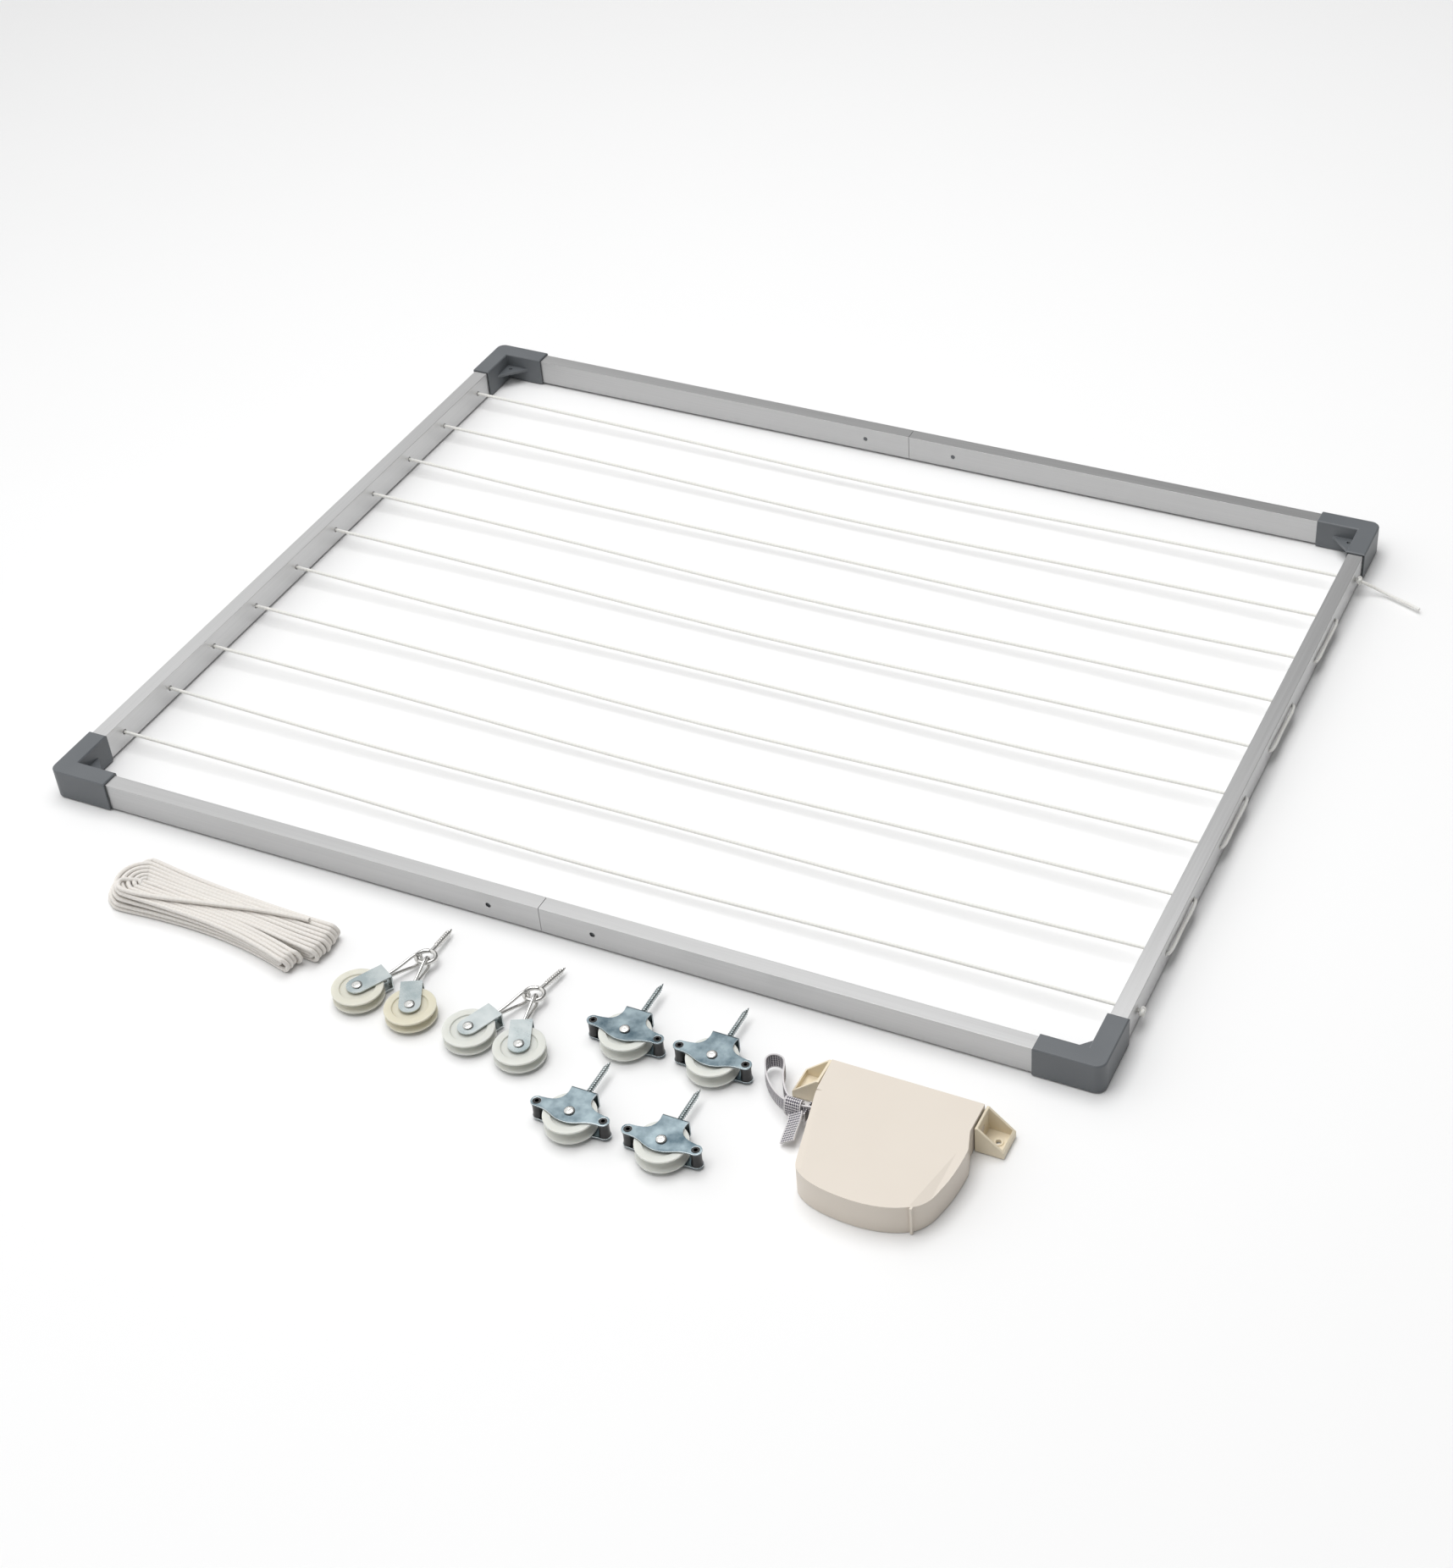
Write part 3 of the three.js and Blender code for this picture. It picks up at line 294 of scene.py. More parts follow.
def webbing(name):
    """Pale webbing with rows of dark dashes, every other row half a step along, and a plain edge."""
    f = Finish(name, 0.85, 0.0)
    far, across = f.along()
    column = (across * (2 * math.pi * STRAP_ROWS)).wave()
    dash = (far * (2 * math.pi / DASH_PITCH)).wave()
    inside = (across > SELVAGE) * (1 - (across > 1 - SELVAGE))
    mark = (column * 0.5 + dash * 0.5 > 0.02) * inside
    f.colour((0.66, 0.64, 0.65), (0.055, 0.05, 0.075), mark)
    return f.relief(column * dash, 0.00012, 0.6).material


# The second colour of each cord is the painted shade of its grooves.
LINE = corded("clothesline_cord", (0.86, 0.855, 0.82), (0.76, 0.755, 0.72), 3, 0.007, 0.00010)
ROPE = corded("hoist_rope_braid", (0.82, 0.79, 0.75), (0.74, 0.71, 0.67), 3, 0.008, 0.00012)
STRAP = webbing("strap_webbing")
print("fibres ready")

# %% [markdown]
# ## Meshes: tubes, bands and turned pieces
# A cord is a ring of points carried along its route. The ring is turned as little as possible from
# step to step, so it never twists by itself. Each face corner also keeps how far along and around it
# is, which the fibre finishes read.

# %% Mesh helpers
def smooth_route(points, per_span):
    """A Catmull-Rom curve through the points."""
    pts = [Vector(p) for p in points]
    out = []
    for i in range(len(pts) - 1):
        a = pts[max(i - 1, 0)]
        b, c = pts[i], pts[i + 1]
        d = pts[min(i + 2, len(pts) - 1)]
        for k in range(per_span):
            t = k / per_span
            square, cube = 2 * a - 5 * b + 4 * c - d, 3 * b - a - 3 * c + d
            out.append(0.5 * (2 * b + (c - a) * t + square * t ** 2 + cube * t ** 3))
    return out + [pts[-1]]


def mesh_piece(name, verts, faces, material, body, runs=None):
    """A new mesh that rides on a body. runs gives each corner's distance along and share around."""
    mesh = bpy.data.meshes.new(name)
    mesh.from_pydata([tuple(v) for v in verts], [], faces)
    if runs:
        layer = mesh.attributes.new("run", "FLOAT_VECTOR", "CORNER")
        flat = [value for face in runs for corner_run in face for value in (*corner_run, 0.0)]
        layer.data.foreach_set("vector", flat)
    obj = bpy.data.objects.new(name, mesh)
    bpy.context.scene.collection.objects.link(obj)
    return dress(obj, material, body)


def dress(obj, material, body, angle=32):
    """Material, outward faces, smooth shading and body. With no body, the piece is left unattached."""
    obj.data.materials.clear()
    obj.data.materials.append(material)
    tidy = bmesh.new()
    tidy.from_mesh(obj.data)
    bmesh.ops.recalc_face_normals(tidy, faces=tidy.faces)
    tidy.to_mesh(obj.data)
    tidy.free()
    obj.data.shade_smooth()
    obj.data.set_sharp_from_angle(angle=math.radians(angle))
    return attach(obj, body) if body else obj


def tube(name, route, radius, sides, material, body):
    """A round cord or wire along a route of points, closed at both ends."""
    verts, faces, runs = [], [], []
    up = Vector((0, 0, 1))
    far = [0.0]
    for i, p in enumerate(route):
        ahead = (route[min(i + 1, len(route) - 1)] - route[max(i - 1, 0)]).normalized()
        side = ahead.cross(up)
        side = side.normalized() if side.length > 1e-6 else Vector((1, 0, 0))
        up = side.cross(ahead).normalized()
        for k in range(sides):
            a = 2 * math.pi * k / sides
            verts.append(p + (side * math.cos(a) + up * math.sin(a)) * radius)
        if i:
            far.append(far[-1] + (p - route[i - 1]).length)
    for i in range(len(route) - 1):
        for k in range(sides):
            n = (k + 1) % sides
            faces.append((i * sides + k, i * sides + n, (i + 1) * sides + n, (i + 1) * sides + k))
            s0, s1 = k / sides, (k + 1) / sides
            runs.append([(far[i], s0), (far[i], s1), (far[i + 1], s1), (far[i + 1], s0)])
    last = (len(route) - 1) * sides
    for ring, distance in ((range(sides - 1, -1, -1), far[0]), (range(last, last + sides), far[-1])):
        faces.append(tuple(ring))
        runs.append([(distance, 0.0)] * sides)
    return mesh_piece(name, verts, faces, material, body, runs), far[-1]


def band(name, route, thickness, material, body, slot):
    """Webbing: route gives each point and the half width as a vector across it."""
    verts, faces, runs, far = [], [], [], [0.0]
    for i, (p, across) in enumerate(route):
        ahead = (route[min(i + 1, len(route) - 1)][0] - route[max(i - 1, 0)][0]).normalized()
        out = ahead.cross(across).normalized() * (thickness / 2)
        verts += [p - across - out, p + across - out, p + across + out, p - across + out]
        if i:
            far.append(far[-1] + (p - route[i - 1][0]).length)
    share = [0.0, 1.0, 1.0, 0.0]
    for i in range(len(route) - 1):
        for k in range(4):
            n = (k + 1) % 4
            faces.append((4 * i + k, 4 * i + n, 4 * i + 4 + n, 4 * i + 4 + k))
            here, there = far[i], far[i + 1]
            runs.append([(here, share[k]), (here, share[n]), (there, share[n]), (there, share[k])])
    end = 4 * (len(route) - 1)
    for face, distance in (((3, 2, 1, 0), far[0]), ((end, end + 1, end + 2, end + 3), far[-1])):
        faces.append(face)
        runs.append([(distance, share[k % 4]) for k in face])
    return mesh_piece(name, verts, faces, material, body, runs)


def turned(name, profile, place, material, body, sides=72):
    """A turned piece: (radius, height) points in millimetres round the local Z of place."""
    verts, faces = [], []
    for r, h in profile:
        for k in range(sides):
            a = 2 * math.pi * k / sides
            verts.append(place @ Vector((r * MM * math.cos(a), r * MM * math.sin(a), h * MM)))
    count = len(profile)
    for i in range(count):
        j = (i + 1) % count
        for k in range(sides):
            n = (k + 1) % sides
            faces.append((i * sides + k, i * sides + n, j * sides + n, j * sides + k))
    obj = mesh_piece(name, verts, faces, material, body)
    merged = bmesh.new()
    merged.from_mesh(obj.data)
    bmesh.ops.remove_doubles(merged, verts=merged.verts, dist=1e-6)
    bmesh.ops.dissolve_degenerate(merged, edges=merged.edges, dist=1e-7)
    merged.to_mesh(obj.data)
    merged.free()
    return obj


def softened(profile, size, open_ends=False):
    """The same profile with each corner cut to a small round of three points."""
    out = []
    for i, p in enumerate(profile):
        if open_ends and i in (0, len(profile) - 1):
            out.append(p)
            continue
        a, b, c = Vector(profile[i - 1]), Vector(p), Vector(profile[(i + 1) % len(profile)])
        if b.x < 1e-6:
            out.append(tuple(b))
            continue
        d = min(size, (a - b).length / 2.5, (c - b).length / 2.5)
        start, end = b + (a - b).normalized() * d, b + (c - b).normalized() * d
        for t in (0, 0.5, 1):
            out.append(tuple(start * (1 - t) ** 2 + 2 * b * t * (1 - t) + end * t * t))
    return out


print("mesh helpers ready")

# %% [markdown]
# ## The hoist rope
# The rope comes folded into a hank. At the left its turns go round in flat loops, one inside the next,
# and the upper ones stand a little proud. At the right each run folds down and back under itself, so
# the fold ends fan out. The middle is pinched. Rules for each end are enough: no run is drawn by hand.

# %% Hoist rope hank
ROPE_R = 2.0
SLOTS = 12
HANK_LEFT, HANK_RIGHT = 151.0, 332.0
LAYERS = {"top": 15.4, "upper": 11.0, "lower": 6.5, "floor": 2.1}
LAYER_SHIFT = {"top": 5.0, "upper": 2.0, "lower": -1.0, "floor": -3.0}
CROSSING = [
    (147, -93, 22.4), (146, -100, 23.8), (152, -105, 23.6), (170, -103.5, 22.0), (200, -97, 20.6),
    (235, -89, 20.0), (275, -81, 19.8), (305, -77, 19.6), (322, -75.5, 19.4),
]


def hank_place(x, slot, layer):
    """Where a run is at x: pinched in the middle, with the front runs drawn towards the front right."""
    share = min(max((x - HANK_LEFT) / (HANK_RIGHT - HANK_LEFT), 0), 1)
    middle = -84.5 - 10.0 * share + 3.0 * math.sin(math.pi * share)
    pitch = 4.25 - 0.75 * math.sin(math.pi * share ** 0.9) + 0.35 * share ** 3
    apart = (slot - (SLOTS - 1) / 2) * pitch
    if slot < 4:
        apart -= 3.5 * max(0.0, (share - 0.55) / 0.45) ** 2
    raised = {"top": 4.5, "upper": 2.2}.get(layer, 0.0) * (1 - share) ** 5
    return Vector((x, middle + apart + LAYER_SHIFT[layer] * (0.35 - share) * 0.5, LAYERS[layer] + raised))


def run_along(slot, layer, rightward, right_end, left_end):
    """One run from end to end, drifting a little sideways as it goes."""
    drift = random.uniform(-0.5, 0.5)
    shares = [0.0, 0.18, 0.36, 0.54, 0.72, 0.88, 1.0]
    points = []
    for share in shares if rightward else reversed(shares):
        p = hank_place(left_end + share * (right_end - left_end), slot, layer)
        points.append(p + Vector((0, drift * math.sin(2 * math.pi * share), 0)))
    return points


def fold_down(a, b, out):
    """A fold at the right end, over the edge and back underneath."""
    return [a.lerp(b, t) + Vector((out * reach, 0, 0)) for t, reach in ((0.1, 0.62), (0.5, 1.0), (0.9, 0.62))]


def loop_round(a, b, lift):
    """A flat loop at the left end, from one side of the hank to the other."""
    centre, arm = (a + b) / 2, (a - b) / 2
    points = []
    for k in range(1, 8):
        turned_by = math.pi * k / 8
        reach = arm.length * 0.92 * math.sin(turned_by)
        up = lift * math.sin(turned_by)
        points.append(centre + arm * math.cos(turned_by) + Vector((-reach, 0, up)))
    return points


def hank_route():
    """All runs in order, outer pairs of slots first, and the crossing strand that lies on top."""
    random.seed(4)
    points = []
    for over, under in (("upper", "lower"), ("top", "floor")):
        proud = 3.5 if over == "upper" else 7.5
        for near in range(SLOTS // 2):
            far = SLOTS - 1 - near
            steps = [(far, over, True), (far, under, False), (near, under, True), (near, over, False)]
            ends = {}
            for slot in (near, far):
                short = 13.0 if slot < 4 else 0.0
                ends[slot] = HANK_RIGHT + proud - short - 0.12 * (slot - 7) ** 2 + random.uniform(-1.5, 1.5)
            for i, (slot, layer, rightward) in enumerate(steps):
                left = HANK_LEFT + LAYER_SHIFT[layer] + 1.5 * near
                run = run_along(slot, layer, rightward, ends[slot], left)
                if i in (1, 3):
                    points += fold_down(points[-1], run[0], 4.2 if over == "upper" else 6.5)
                elif points:
                    points += loop_round(points[-1], run[0], 1.4 if layer == "top" else 0.0)
                points += run
    return points + [Vector(p) for p in CROSSING]


rope_points = [spot(*p) for p in hank_route()]
rope_line = smooth_route(rope_points, 3)
rope, rope_length = tube("hoist_rope", rope_line, ROPE_R * MM, 10, ROPE, "rope_hank")
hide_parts("hoist_rope_hank")
print("hoist rope", round(rope_length, 2), "m in", 4 * SLOTS, "runs")

# %% [markdown]
# ## The strap's end
# A narrow woven strap comes out of the winder on its edge, doubles back in a loop to hold by, and is
# held by its own knot, with a short tail. Only this end is outside the case.

# %% Lifting strap
STRAP_THICK = 1.3
STRAP_WIDTH = 14.0
strap_route = [
    (803.5, -112.5, 12.4), (797, -113.6, 12.4), (788, -113.8, 12.2), (779, -111.6, 11.6), (770, -106.6, 10.8),
    (761, -98.8, 10.3), (753.5, -89.5, 10), (748.5, -80.5, 9.9), (747.2, -75.5, 9.9), (749.3, -71.2, 9.9),
    (754.5, -69.4, 9.9), (760.2, -71.4, 9.9), (763.6, -77, 9.9), (767, -86.5, 10.2), (771.8, -95.5, 10.7),
    (777.2, -103, 11.4), (783.2, -108.4, 12), (790, -110.8, 12.4), (797, -111.2, 12.4),
]
line = smooth_route([spot(*p) for p in strap_route], 5)
upright = Vector((0, 0, STRAP_WIDTH / 2 * MM))
WOVEN = (STRAP_THICK * MM, STRAP, "strap_end", "strap_webbing")
strap = band("strap_loop", [(p, upright) for p in line], *WOVEN)
KNOT_STEPS = 30
level = Vector((STRAP_WIDTH / 2 * MM, 0, 0))
knot_ring = []
for k in range(KNOT_STEPS + 1):
    a = math.radians(-60 - 390 * k / KNOT_STEPS)
    grow = 1 + 0.1 * k / KNOT_STEPS
    wrap_y, wrap_z = 4.6 * grow * math.cos(a), 8.6 * grow * math.sin(a)
    knot_ring.append((spot(789.5 - 0.06 * k, -112.4 + wrap_y, 12.2 + wrap_z), level))
knot = band("strap_knot", knot_ring, *WOVEN)
tail_route = [
    (792, -117.2, 13), (793.5, -121.5, 12.4), (794.5, -128, 10.4), (795, -135, 8.2), (796, -142, 6.6),
]
tail_line = smooth_route([spot(*p) for p in tail_route], 5)
slanted = Vector((0.83, 0.1, 0.52)) * (STRAP_WIDTH / 2 * MM)
tail = band("strap_tail", [(p, slanted) for p in tail_line], *WOVEN)
print("strap loop, knot and tail ready")

# %% [markdown]
# ## The length that is pulled out
# When the strap is pulled, more of it comes out of the slot. A piece that rides on the case or on the
# strap alone would leave a gap there. This one is a 10 mm patch at the slot, on neither body.
# Its weave is spaced for the full pull, and is crowded at rest.

# %% Strap between slot and knot
PULL = 0.2
LEAD_LENGTH = 0.01
LEAD_STEPS = 60
lead_low, lead_high = spot(800.3, -112.5, 7.0), spot(800.3, -112.5, 17.0)
crosswise = Vector((0, STRAP_WIDTH / 2 * MM, 0))
lead_route = [(lead_low.lerp(lead_high, k / LEAD_STEPS), crosswise) for k in range(LEAD_STEPS + 1)]
lead = band("strap_lead", lead_route, STRAP_THICK * 0.8 * MM, STRAP, None, "strap_webbing")
for reading in lead.data.attributes["run"].data:
    reading.vector.x *= (PULL + LEAD_LENGTH) / LEAD_LENGTH
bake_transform(lead)
strap_length = sum((line[i + 1] - line[i]).length for i in range(len(line) - 1))
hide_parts("lift_strap_end")
print("strap outside the case", round(strap_length, 3), "m")

# %% [markdown]
# ## The clothesline
# One cord is laced through both side rails, out and back. It is loose between them, so each run dips
# and wanders a little. A knot outside the right rail stops each end.

# %% Clothesline
FRAME_W, RAIL_W, RAIL_MID = 1000.0, 15.0, 15.0
LINE_COUNT, LINE_FIRST, LINE_PITCH = 10, 83.0, 70.8
LINE_R = 1.6
FACE = LINE_R + 0.6
SLACK = [(0.2, 1.3, -3.6), (0.5, -1.6, -6.2), (0.8, 1.2, -3.4)]
TAIL = [(6, 0, -1), (16, 3, -6), (29, 3, -10.5), (47, -3, -11.2), (67, -11, -11.2)]


def clothesline_route():
    """Hole to hole across the frame, then along the outside of the rail to the next hole."""
    points = [(FRAME_W + FACE + 2, LINE_FIRST, RAIL_MID)]
    for i in range(LINE_COUNT):
        y = LINE_FIRST + i * LINE_PITCH
        start, step = (FRAME_W, -1) if i % 2 == 0 else (0, 1)
        points += [(start - 0.5 * step, y, RAIL_MID), (start + step * RAIL_W, y, RAIL_MID)]
        for share, sideways, down in SLACK:
            swing = -sideways if i % 3 == 1 else sideways
            x = start + step * (RAIL_W + share * (FRAME_W - 2 * RAIL_W))
            points.append((x, y + swing, RAIL_MID + down))
        points.append((start + step * (FRAME_W - RAIL_W), y, RAIL_MID))
        points.append((start + step * (FRAME_W + 0.5), y, RAIL_MID))
        if i < LINE_COUNT - 1:
            x = start + step * (FRAME_W + FACE)
            points.append((x, y + 3, RAIL_MID))
            points.append((x, y + LINE_PITCH / 2, RAIL_MID - 1))
            points.append((x, y + LINE_PITCH - 3, RAIL_MID))
    last = LINE_FIRST + (LINE_COUNT - 1) * LINE_PITCH
    return points + [(FRAME_W + out, last + back, RAIL_MID + up) for out, back, up in TAIL]


def centripetal(points, per_span):
    """Like smooth_route, but tight bends next to long runs don't overshoot."""
    pts = [Vector(p) for p in points]
    out = []
    for i in range(len(pts) - 1):
        b, c = pts[i], pts[i + 1]
        a = pts[i - 1] if i else b + (b - c)
        d = pts[i + 2] if i + 2 < len(pts) else c + (c - b)
        t1 = math.sqrt((b - a).length)
        t2 = t1 + math.sqrt((c - b).length)
        t3 = t2 + math.sqrt((d - c).length)
        for k in range(per_span):
            t = t1 + (t2 - t1) * k / per_span
            a1 = a * ((t1 - t) / t1) + b * (t / t1)
            a2 = b * ((t2 - t) / (t2 - t1)) + c * ((t - t1) / (t2 - t1))
            a3 = c * ((t3 - t) / (t3 - t2)) + d * ((t - t2) / (t3 - t2))
            b1 = a1 * ((t2 - t) / t2) + a2 * (t / t2)
            b2 = a2 * ((t3 - t) / (t3 - t1)) + a3 * ((t - t1) / (t3 - t1))
            out.append(b1 * ((t2 - t) / (t2 - t1)) + b2 * ((t - t1) / (t2 - t1)))
    return out + [pts[-1]]


line_route = [spot(*p) for p in centripetal(clothesline_route(), 6)]
laced, laced_length = tube("clothesline_cord", line_route, LINE_R * MM, 12, LINE, "frame")
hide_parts("clothesline")
KNOT_TURNS, KNOT_SIZE = 48, 1.15
for place, y in (("front", LINE_FIRST), ("back", LINE_FIRST + (LINE_COUNT - 1) * LINE_PITCH)):
    loop = []
    for k in range(KNOT_TURNS + 1):
        a = 2 * math.pi * k / KNOT_TURNS
        lean = KNOT_SIZE * (math.sin(a) + 2 * math.sin(2 * a))
        rise = KNOT_SIZE * (math.cos(a) - 2 * math.cos(2 * a))
        loop.append(spot(FRAME_W + 3.9 + 0.75 * math.sin(3 * a) * 1.3, y + lean, RAIL_MID - 0.4 + rise))
    tube("clothesline_knot_" + place, loop, LINE_R * 0.92 * MM, 12, LINE, "frame")
print("clothesline", round(laced_length, 2), "m")

# %% [markdown]
# ## Rails, corners and winder
# These shapes are right in the CAD, but real ones have no knife edges. Each gets a copy with its flat
# faces joined and a small round on every sharp edge, which is what catches the light.

# %% Softened copies of CAD pieces
def soften_edges(cad_node, name, width, material, body, segments=3, angle=30, rim=None):
    """A copy of a CAD node with rounded edges. The rounds can have a finish of their own."""
    obj = bpy.data.objects.new(name, frame["nodes"][cad_node].data.copy())
    bpy.context.scene.collection.objects.link(obj)
    joined = bmesh.new()
    joined.from_mesh(obj.data)
    bmesh.ops.remove_doubles(joined, verts=joined.verts, dist=1e-6)
    bmesh.ops.dissolve_limit(joined, angle_limit=math.radians(0.5), verts=joined.verts, edges=joined.edges)
    mark = joined.faces.layers.int.new("rim")
    paired = [e for e in joined.edges if len(e.link_faces) == 2]
    sharp = [e for e in paired if e.calc_face_angle(0) > math.radians(angle)]
    made = bmesh.ops.bevel(joined, geom=sharp, offset=width, offset_type="OFFSET", segments=segments,
                           profile=0.5, affect="EDGES", clamp_overlap=True)
    for face in made["faces"]:
        face[mark] = 1
    joined.to_mesh(obj.data)
    joined.free()
    dress(obj, material, body, angle=40)
    # A rim finish colours the rounds alone; for the pulley and strap plates it is the lighter zinc, a painted
    # highlight.
    if rim:
        obj.data.materials.append(rim)
        for face, on_rim in zip(obj.data.polygons, obj.data.attributes["rim"].data):
            face.material_index = on_rim.value
    level = obj.modifiers.new("level_faces", "WEIGHTED_NORMAL")
    level.keep_sharp = True
    level.weight = 100
    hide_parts(cad_node)
    return obj


def crease_top(obj, angle):
    """Keeps the shallow folds of a top face crisp, where smooth shading would hide them."""
    folded = bmesh.new()
    folded.from_mesh(obj.data)
    for e in folded.edges:
        tops = [f for f in e.link_faces if f.normal.z > 0.9]
        if len(tops) == 2 and e.calc_face_angle(0) > math.radians(angle):
            e.smooth = False
    folded.to_mesh(obj.data)
    folded.free()


SIDE_ROUND, RAIL_ROUND, CORNER_ROUND, CASE_ROUND, LUG_ROUND = 0.0005, 0.00022, 0.0011, 0.0016, 0.0005
for side in ("left", "right"):
    soften_edges("side_tube_" + side, "side_rail_" + side, SIDE_ROUND, ALUMINIUM_Y,
                 "frame", 2)
    for place in ("front", "back"):
        soften_edges(f"{place}_tube_{side}_half", f"{place}_rail_{side}", RAIL_ROUND, ALUMINIUM_X,
                     "frame", 2)
        soften_edges(f"corner_{place}_{side}", f"{place}_{side}_corner_moulding", CORNER_ROUND, GREY,
                     "frame")
shell = soften_edges("winder_case", "winder_case_shell", CASE_ROUND, CREAM,
                     "winder_body", 4, 24)
crease_top(shell, 6)
for side in ("left", "right"):
    soften_edges("winder_lug_" + side, f"winder_{side}_lug_moulding", LUG_ROUND, CREAM_LUG,
                 "winder_base")

# %% [markdown]
# ## Sheaves, rivets and rollers
# Turned pieces are drawn once as half a section and spun. A sheave has a rounded groove for the rope
# and a recessed face; a rivet has a low dome, pressed slightly flat in its middle.

# %% Turned fittings
SHEAVE_R, SHEAVE_ROOT, RECESS_R, HUB_R, BORE_R = 21.5, 16.0, 14.5, 5.5, 2.7
CEILING_SHEAVE_W, HANGING_SHEAVE_W = 13.0, 10.4
RECESS, RIM_W, SHEAVE_ROUND = 1.4, 1.5, 0.55
RIVET_R, DOME_H, FOOT_H, RIVET_SINK = 4.35, 1.75, 1.55, 0.0016
ROLLER_R, ROLLER_PIN_R, ROLLER_BORE_R, ROLLER_LIP = 4.75, 3.0, 1.7, 1.5


def sheave_section(width):
    """Half a sheave's section: hub, recessed face, rim and rounded groove."""
    half = width / 2
    face = [(BORE_R, -half), (HUB_R, -half), (HUB_R, RECESS - half), (RECESS_R, RECESS - half)]
    face.append((RECESS_R + 0.6, -half))
    rim = [(SHEAVE_R, -half), (SHEAVE_R, RIM_W - half)]
    groove = []
    for k in range(1, 12):
        t = -1 + k / 6
        groove.append((SHEAVE_ROOT + (SHEAVE_R - SHEAVE_ROOT) * abs(t) ** 1.6, t * (half - RIM_W)))
    mirrored = [(r, -h) for r, h in reversed(face + rim)]
    return softened(face + rim, SHEAVE_ROUND, True) + groove + softened(mirrored, SHEAVE_ROUND, True)


def dome_section(radius, height):
    """Half a rivet head's section: a low dome with a slight dip in its middle."""
    points = [(0.0, 0.0), (radius, 0.0), (radius, height * 0.35)]
    for k in range(1, 7):
        a = math.radians(90 * k / 7)
        points.append((radius * (0.28 + 0.72 * math.cos(a)), height * (0.35 + 0.65 * math.sin(a))))
    return points + [(radius * 0.26, height * 0.97), (0.0, height * 0.9)]


def upright_at(point):
    return Matrix.Translation(Vector(point))


def rivet_head(name, x, y, z, upward, body):
    """A dome seen from above, or the lower foot, sunk a little into the end of its rivet."""
    if upward:
        place, height = upright_at((x, y, z - RIVET_SINK)), DOME_H
    else:
        place, height = upright_at((x, y, z + RIVET_SINK)) @ Matrix.Rotation(math.pi, 4, "X"), FOOT_H
    turned(name, dome_section(RIVET_R, height), place, STEEL, body, 40)


for i in range(1, 5):
    pulley = f"ceiling_pulley_{i}"
    low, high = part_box(pulley + "_sheave")
    middle = (low + high) / 2
    wheel = turned(f"{pulley}_wheel_nylon", sheave_section(CEILING_SHEAVE_W), upright_at(middle), NYLON,
                   pulley + "_wheel", 96)
    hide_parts(pulley + "_sheave")
    head_low, head_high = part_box(pulley + "_axle_rivet")
    rivet_head(f"{pulley}_rivet_dome", middle.x, middle.y, head_high.z, True, pulley)
    rivet_head(f"{pulley}_rivet_foot", middle.x, middle.y, head_low.z, False, pulley)
    # The plate's rounds take the lighter zinc: a painted highlight along its edges.
    soften_edges(pulley + "_bracket", pulley + "_plate", 0.0003, ZINC, pulley, 2, 28, ZINC_RIM_HIGHLIGHT)
    for side in ("left", "right"):
        low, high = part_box(f"{pulley}_roller_{side}")
        centre = (low + high) / 2
        h = (high.z - low.z) / 2 / MM
        inner = h - ROLLER_LIP
        section = [(ROLLER_BORE_R, -h), (ROLLER_PIN_R, -h), (ROLLER_PIN_R, -inner), (ROLLER_R, -inner)]
        for k in range(9):
            t = -1 + k / 4
            section.append((4.3 + 0.45 * abs(t) ** 4, t * (inner - 0.6)))
        section += [(ROLLER_R, inner), (ROLLER_PIN_R, inner), (ROLLER_PIN_R, h), (ROLLER_BORE_R, h)]
        guide = turned(f"{pulley}_guide_{side}_roller", section, upright_at(centre), BLACK,
                       f"{pulley}_guide_{side}", 40)
        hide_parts(f"{pulley}_roller_{side}")
print("ceiling pulley fittings ready")

# %% [markdown]
# ## Threads
# A wood screw's thread is a ridge that climbs as it goes round. The surface is a grid of angle and
# length, and the ridge's height at each point comes from how far the point is from the helix.

# %% Threaded screws
WOOD_THREAD = (1.75, 0.85, 2.3, 8.0)
EYE_THREAD = (1.95, 0.8, 2.4, 7.0)
SCREW_HEAD = [(0, 0), (4.3, 0), (4.3, 1.4), (0, 1.4)]


def threaded(name, place, thread, start, end, material, body, sides=28):
    """A tapered screw along the local Z of place. thread is root, ridge, pitch and point, in mm."""
    root, ridge, pitch, point = thread
    steps = int((end - start) / (pitch / 9))
    verts, faces = [], []
    for i in range(steps + 1):
        z = start + (end - start) * i / steps
        taper = min(1.0, max(0.0, (end - z) / point)) ** 0.8
        grow = min(1.0, (z - start) / pitch)
        for k in range(sides):
            a = 2 * math.pi * k / sides
            phase = (z / pitch - a / (2 * math.pi)) % 1.0
            height = max(0.0, 1 - abs(phase - 0.5) * 4.4)
            r = (root + ridge * height * grow) * taper + 0.02
            verts.append(place @ Vector((r * MM * math.cos(a), r * MM * math.sin(a), z * MM)))
    for i in range(steps):
        for k in range(sides):
            n = (k + 1) % sides
            faces.append((i * sides + k, i * sides + n, (i + 1) * sides + n, (i + 1) * sides + k))
    faces += [tuple(range(sides - 1, -1, -1)), tuple(range(steps * sides, (steps + 1) * sides))]
    return mesh_piece(name, verts, faces, material, body)


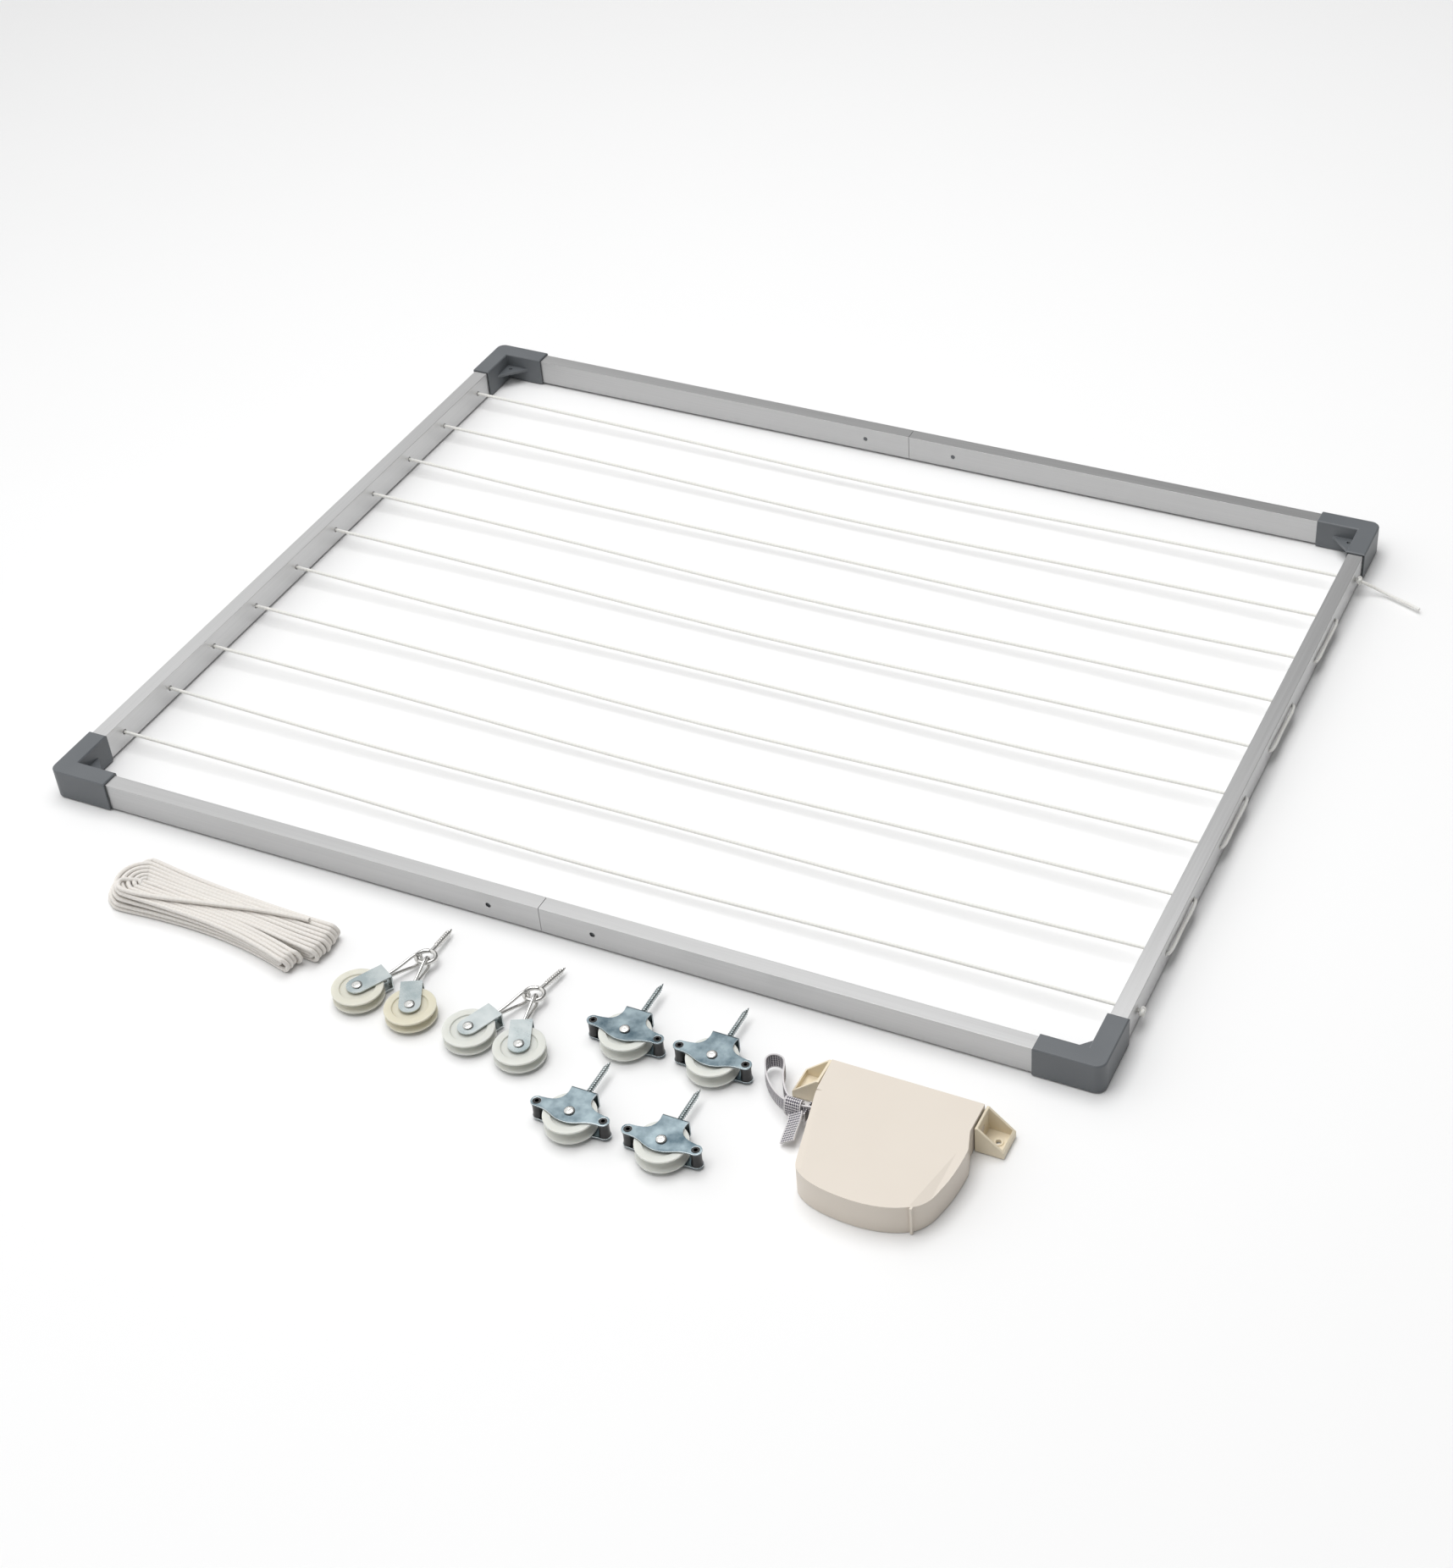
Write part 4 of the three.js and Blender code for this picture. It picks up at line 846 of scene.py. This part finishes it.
for i in range(1, 5):
    pulley = f"ceiling_pulley_{i}"
    low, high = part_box(pulley + "_lag_screw")
    middle = (low + high) / 2
    axis = upright_at((middle.x, low.y, middle.z)) @ Matrix.Rotation(-math.pi / 2, 4, "X")
    length = (high.y - low.y) / MM
    screw = threaded(pulley + "_wood_screw", axis, WOOD_THREAD, 1.2, length, ZINC_PALE, pulley)
    turned(pulley + "_screw_head", softened(SCREW_HEAD, 0.3), axis, ZINC_PALE, pulley, 32)
    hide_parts(pulley + "_lag_screw")
print("wood screws ready")

# %% [markdown]
# ## Screw eyes and split pins
# Each screw eye is one bent wire: a ring that runs into a threaded shank. The split pins are half
# round wire, closed over the ring, with both legs through the strap and turned outwards.

# %% Hanging pulleys
EYES = {1: ((430.0, -68.5), 0.0), 2: ((536.0, -74.0), -9.0)}
EYE_TILT = -5.0
RING_R, RING_WIRE, RING_START, RING_SWEEP = 8.0, 2.0, 104, 346
SHANK_START, SHANK_END = 14.5, 41.0
PIN_R, PIN_EYE, PIN_SPREAD, PIN_REACH, PLATE = 1.4, 5.9, 4.0, 28.5, 1.2


def pin_route():
    """Half of a split pin as (out from the web, away from its middle), in millimetres."""
    clear = PLATE + 0.3 + PIN_R + 0.4
    end = PIN_REACH + RING_WIRE + PIN_R + 1
    bend = end - PIN_EYE
    side = [(-clear, PIN_SPREAD), (-clear, PIN_R + 1.4), (-clear * 0.6, PIN_R + 0.35),
            (0.5, PIN_R + 0.2), (bend * 0.3, PIN_R + 0.9), (bend * 0.68, PIN_EYE * 0.72),
            (bend - 2, PIN_EYE * 0.97), (bend + PIN_EYE * 0.5, PIN_EYE * 0.88),
            (bend + PIN_EYE * 0.88, PIN_EYE * 0.46)]
    return side + [(end, 0.0)] + [(y, -z) for y, z in reversed(side)]


for i, ((eye_x, eye_y), turn_deg) in EYES.items():
    hanger = f"hanger_{i}"
    ring_z = joints[f"{hanger}_left_pin_swing"]["pos_m"][2]
    place = upright_at((*spot(eye_x, eye_y)[:2], ring_z))
    place = place @ Matrix.Rotation(math.radians(turn_deg), 4, "Z")
    place = place @ Matrix.Rotation(math.radians(EYE_TILT), 4, "X")
    ring = []
    for k in range(46):
        a = math.radians(RING_START + RING_SWEEP * k / 45)
        ring.append(place @ (Vector((math.cos(a), math.sin(a), 0)) * RING_R * MM))
    ring += [place @ (Vector((0.2, y, 0)) * MM) for y in (10.5, 13.0, 15.5)]
    eye, _ = tube(f"{hanger}_eye_ring", smooth_route(ring, 2), RING_WIRE * MM, 20, STEEL,
                  hanger)
    shank = place @ Matrix.Rotation(-math.pi / 2, 4, "X")
    threaded(f"{hanger}_eye_thread", shank, EYE_THREAD, SHANK_START, SHANK_END, STEEL, hanger)
    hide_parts(hanger + "_screw_eye")
    for side in ("left", "right"):
        part = f"{hanger}_{side}"
        crossing = Vector(joints[part + "_pin_swing"]["pos_m"])
        web = Vector(joints[part + "_pulley_swivel"]["pos_m"])
        axle = Vector(joints[part + "_wheel_spin"]["pos_m"])
        outward = (crossing - web).normalized()
        legs = [web + outward * y * MM + Vector((0, 0, z * MM)) for y, z in pin_route()]
        pin, _ = tube(part + "_pin_wire", smooth_route(legs, 5), PIN_R * MM, 14, STEEL,
                      part + "_pin")
        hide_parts(part + "_split_pin")
        # The strap plate's rounds take the lighter zinc: a painted highlight along its edges.
        soften_edges(part + "_strap", part + "_strap_plate", 0.00025, ZINC_PALE, part + "_pulley",
                     2, 28, ZINC_RIM_HIGHLIGHT)
        nylon = {(1, "left"): NYLON_CREAMY, (1, "right"): NYLON_AGED}.get((i, side), NYLON)
        wheel = turned(part + "_wheel_nylon", sheave_section(HANGING_SHEAVE_W), upright_at(axle), nylon,
                       part + "_wheel", 96)
        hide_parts(part + "_sheave")
        low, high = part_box(part + "_strap")
        rivet_head(part + "_rivet_foot", axle.x, axle.y, low.z, False, part + "_pulley")
        rivet_head(part + "_rivet_dome", axle.x, axle.y, high.z, True, part + "_pulley")
print("hanging pulleys ready")

# %% [markdown]
# ## What stays as CAD
# The pieces inside the rails and the winder, the winder's back cover and the pulleys' axle rivets keep
# their CAD shape, with a finish of their own. The cover lies face down, and shows when the case swings.

# %% Inner pieces
INNER = {"front_splice_insert": GREY, "back_splice_insert": GREY, "winder_back_cover": CREAM,
         "winder_spool": CREAM, "winder_strap_roll": STRAP, "winder_spring": SPRING}
for i in range(1, 5):
    INNER[f"ceiling_pulley_{i}_axle_rivet"] = STEEL
for name, material in INNER.items():
    frame["nodes"][name].data.materials.clear()
    frame["nodes"][name].data.materials.append(material)
print("pieces kept as CAD:", len(INNER))

# %% [markdown]
# ## Floor and light
# A pale floor under one big soft light: the shadows are short and pale, deepest where a piece meets
# the floor. What the flat tops mirror is the room, so the room is darker low down and to the right.

# %% Floor and light
FLOOR_HALF, FLOOR_DROP = 30, 0.0006
floor_mesh = bpy.data.meshes.new("floor")
ends = [(-FLOOR_HALF, -FLOOR_HALF, 0), (FLOOR_HALF, -FLOOR_HALF, 0)]
ends += [(FLOOR_HALF, FLOOR_HALF, 0), (-FLOOR_HALF, FLOOR_HALF, 0)]
floor_mesh.from_pydata(ends, [], [(0, 1, 2, 3)])
floor = bpy.data.objects.new("floor", floor_mesh)
bpy.context.scene.collection.objects.link(floor)
floor.location.z = -FLOOR_DROP
paper = Finish("floor_paper", 0.9)
paper.colour((0.90, 0.90, 0.90), (0.91, 0.91, 0.91), paper.noise(3.0))
floor.data.materials.append(paper.material)


def soft_light(name, place, aim, size, watts):
    """A rectangle of light at place, turned to face aim."""
    lamp = bpy.data.objects.new(name, bpy.data.lights.new(name, "AREA"))
    bpy.context.scene.collection.objects.link(lamp)
    lamp.data.shape = "RECTANGLE"
    lamp.data.size, lamp.data.size_y = size
    lamp.data.energy = watts
    lamp.location = place
    lamp.rotation_euler = (Vector(aim) - Vector(place)).to_track_quat("-Z", "Y").to_euler()


soft_light("overhead", (-0.2, 0.0, 3.0), (0, 0, 0), (3.2, 2.0), 63)


DARK_LEAN, DARK_HEIGHT, DARK_EDGE = 0.8, 0.79, 6.0


def studio_world(low, high, strength):
    """A pale room, darker near the horizon and more so to the right, as the rails' tops mirror it."""
    world = bpy.data.worlds.new("studio")
    bpy.context.scene.world = world
    world.use_nodes = True
    tree = world.node_tree
    ray = Value(tree, node(tree, "ShaderNodeTexCoord", {}, {}).outputs["Generated"])
    apart = node(tree, "ShaderNodeSeparateXYZ", {}, [ray])
    height = Value(tree, apart.outputs[2])
    sideways = Value(tree, apart.outputs[0])
    share = ((height - sideways * DARK_LEAN - DARK_HEIGHT) * DARK_EDGE).clamped()
    tones = {0: share, 6: (low, low, low, 1), 7: (high, high, high, 1)}
    mix = node(tree, "ShaderNodeMix", {"data_type": "RGBA"}, tones)
    tree.links.new(mix.outputs[2], tree.nodes["Background"].inputs["Color"])
    tree.nodes["Background"].inputs["Strength"].default_value = strength


studio_world(0.24, 1.12, 0.96)
bpy.context.scene.view_settings.view_transform = "Standard"
print("floor and lights ready")
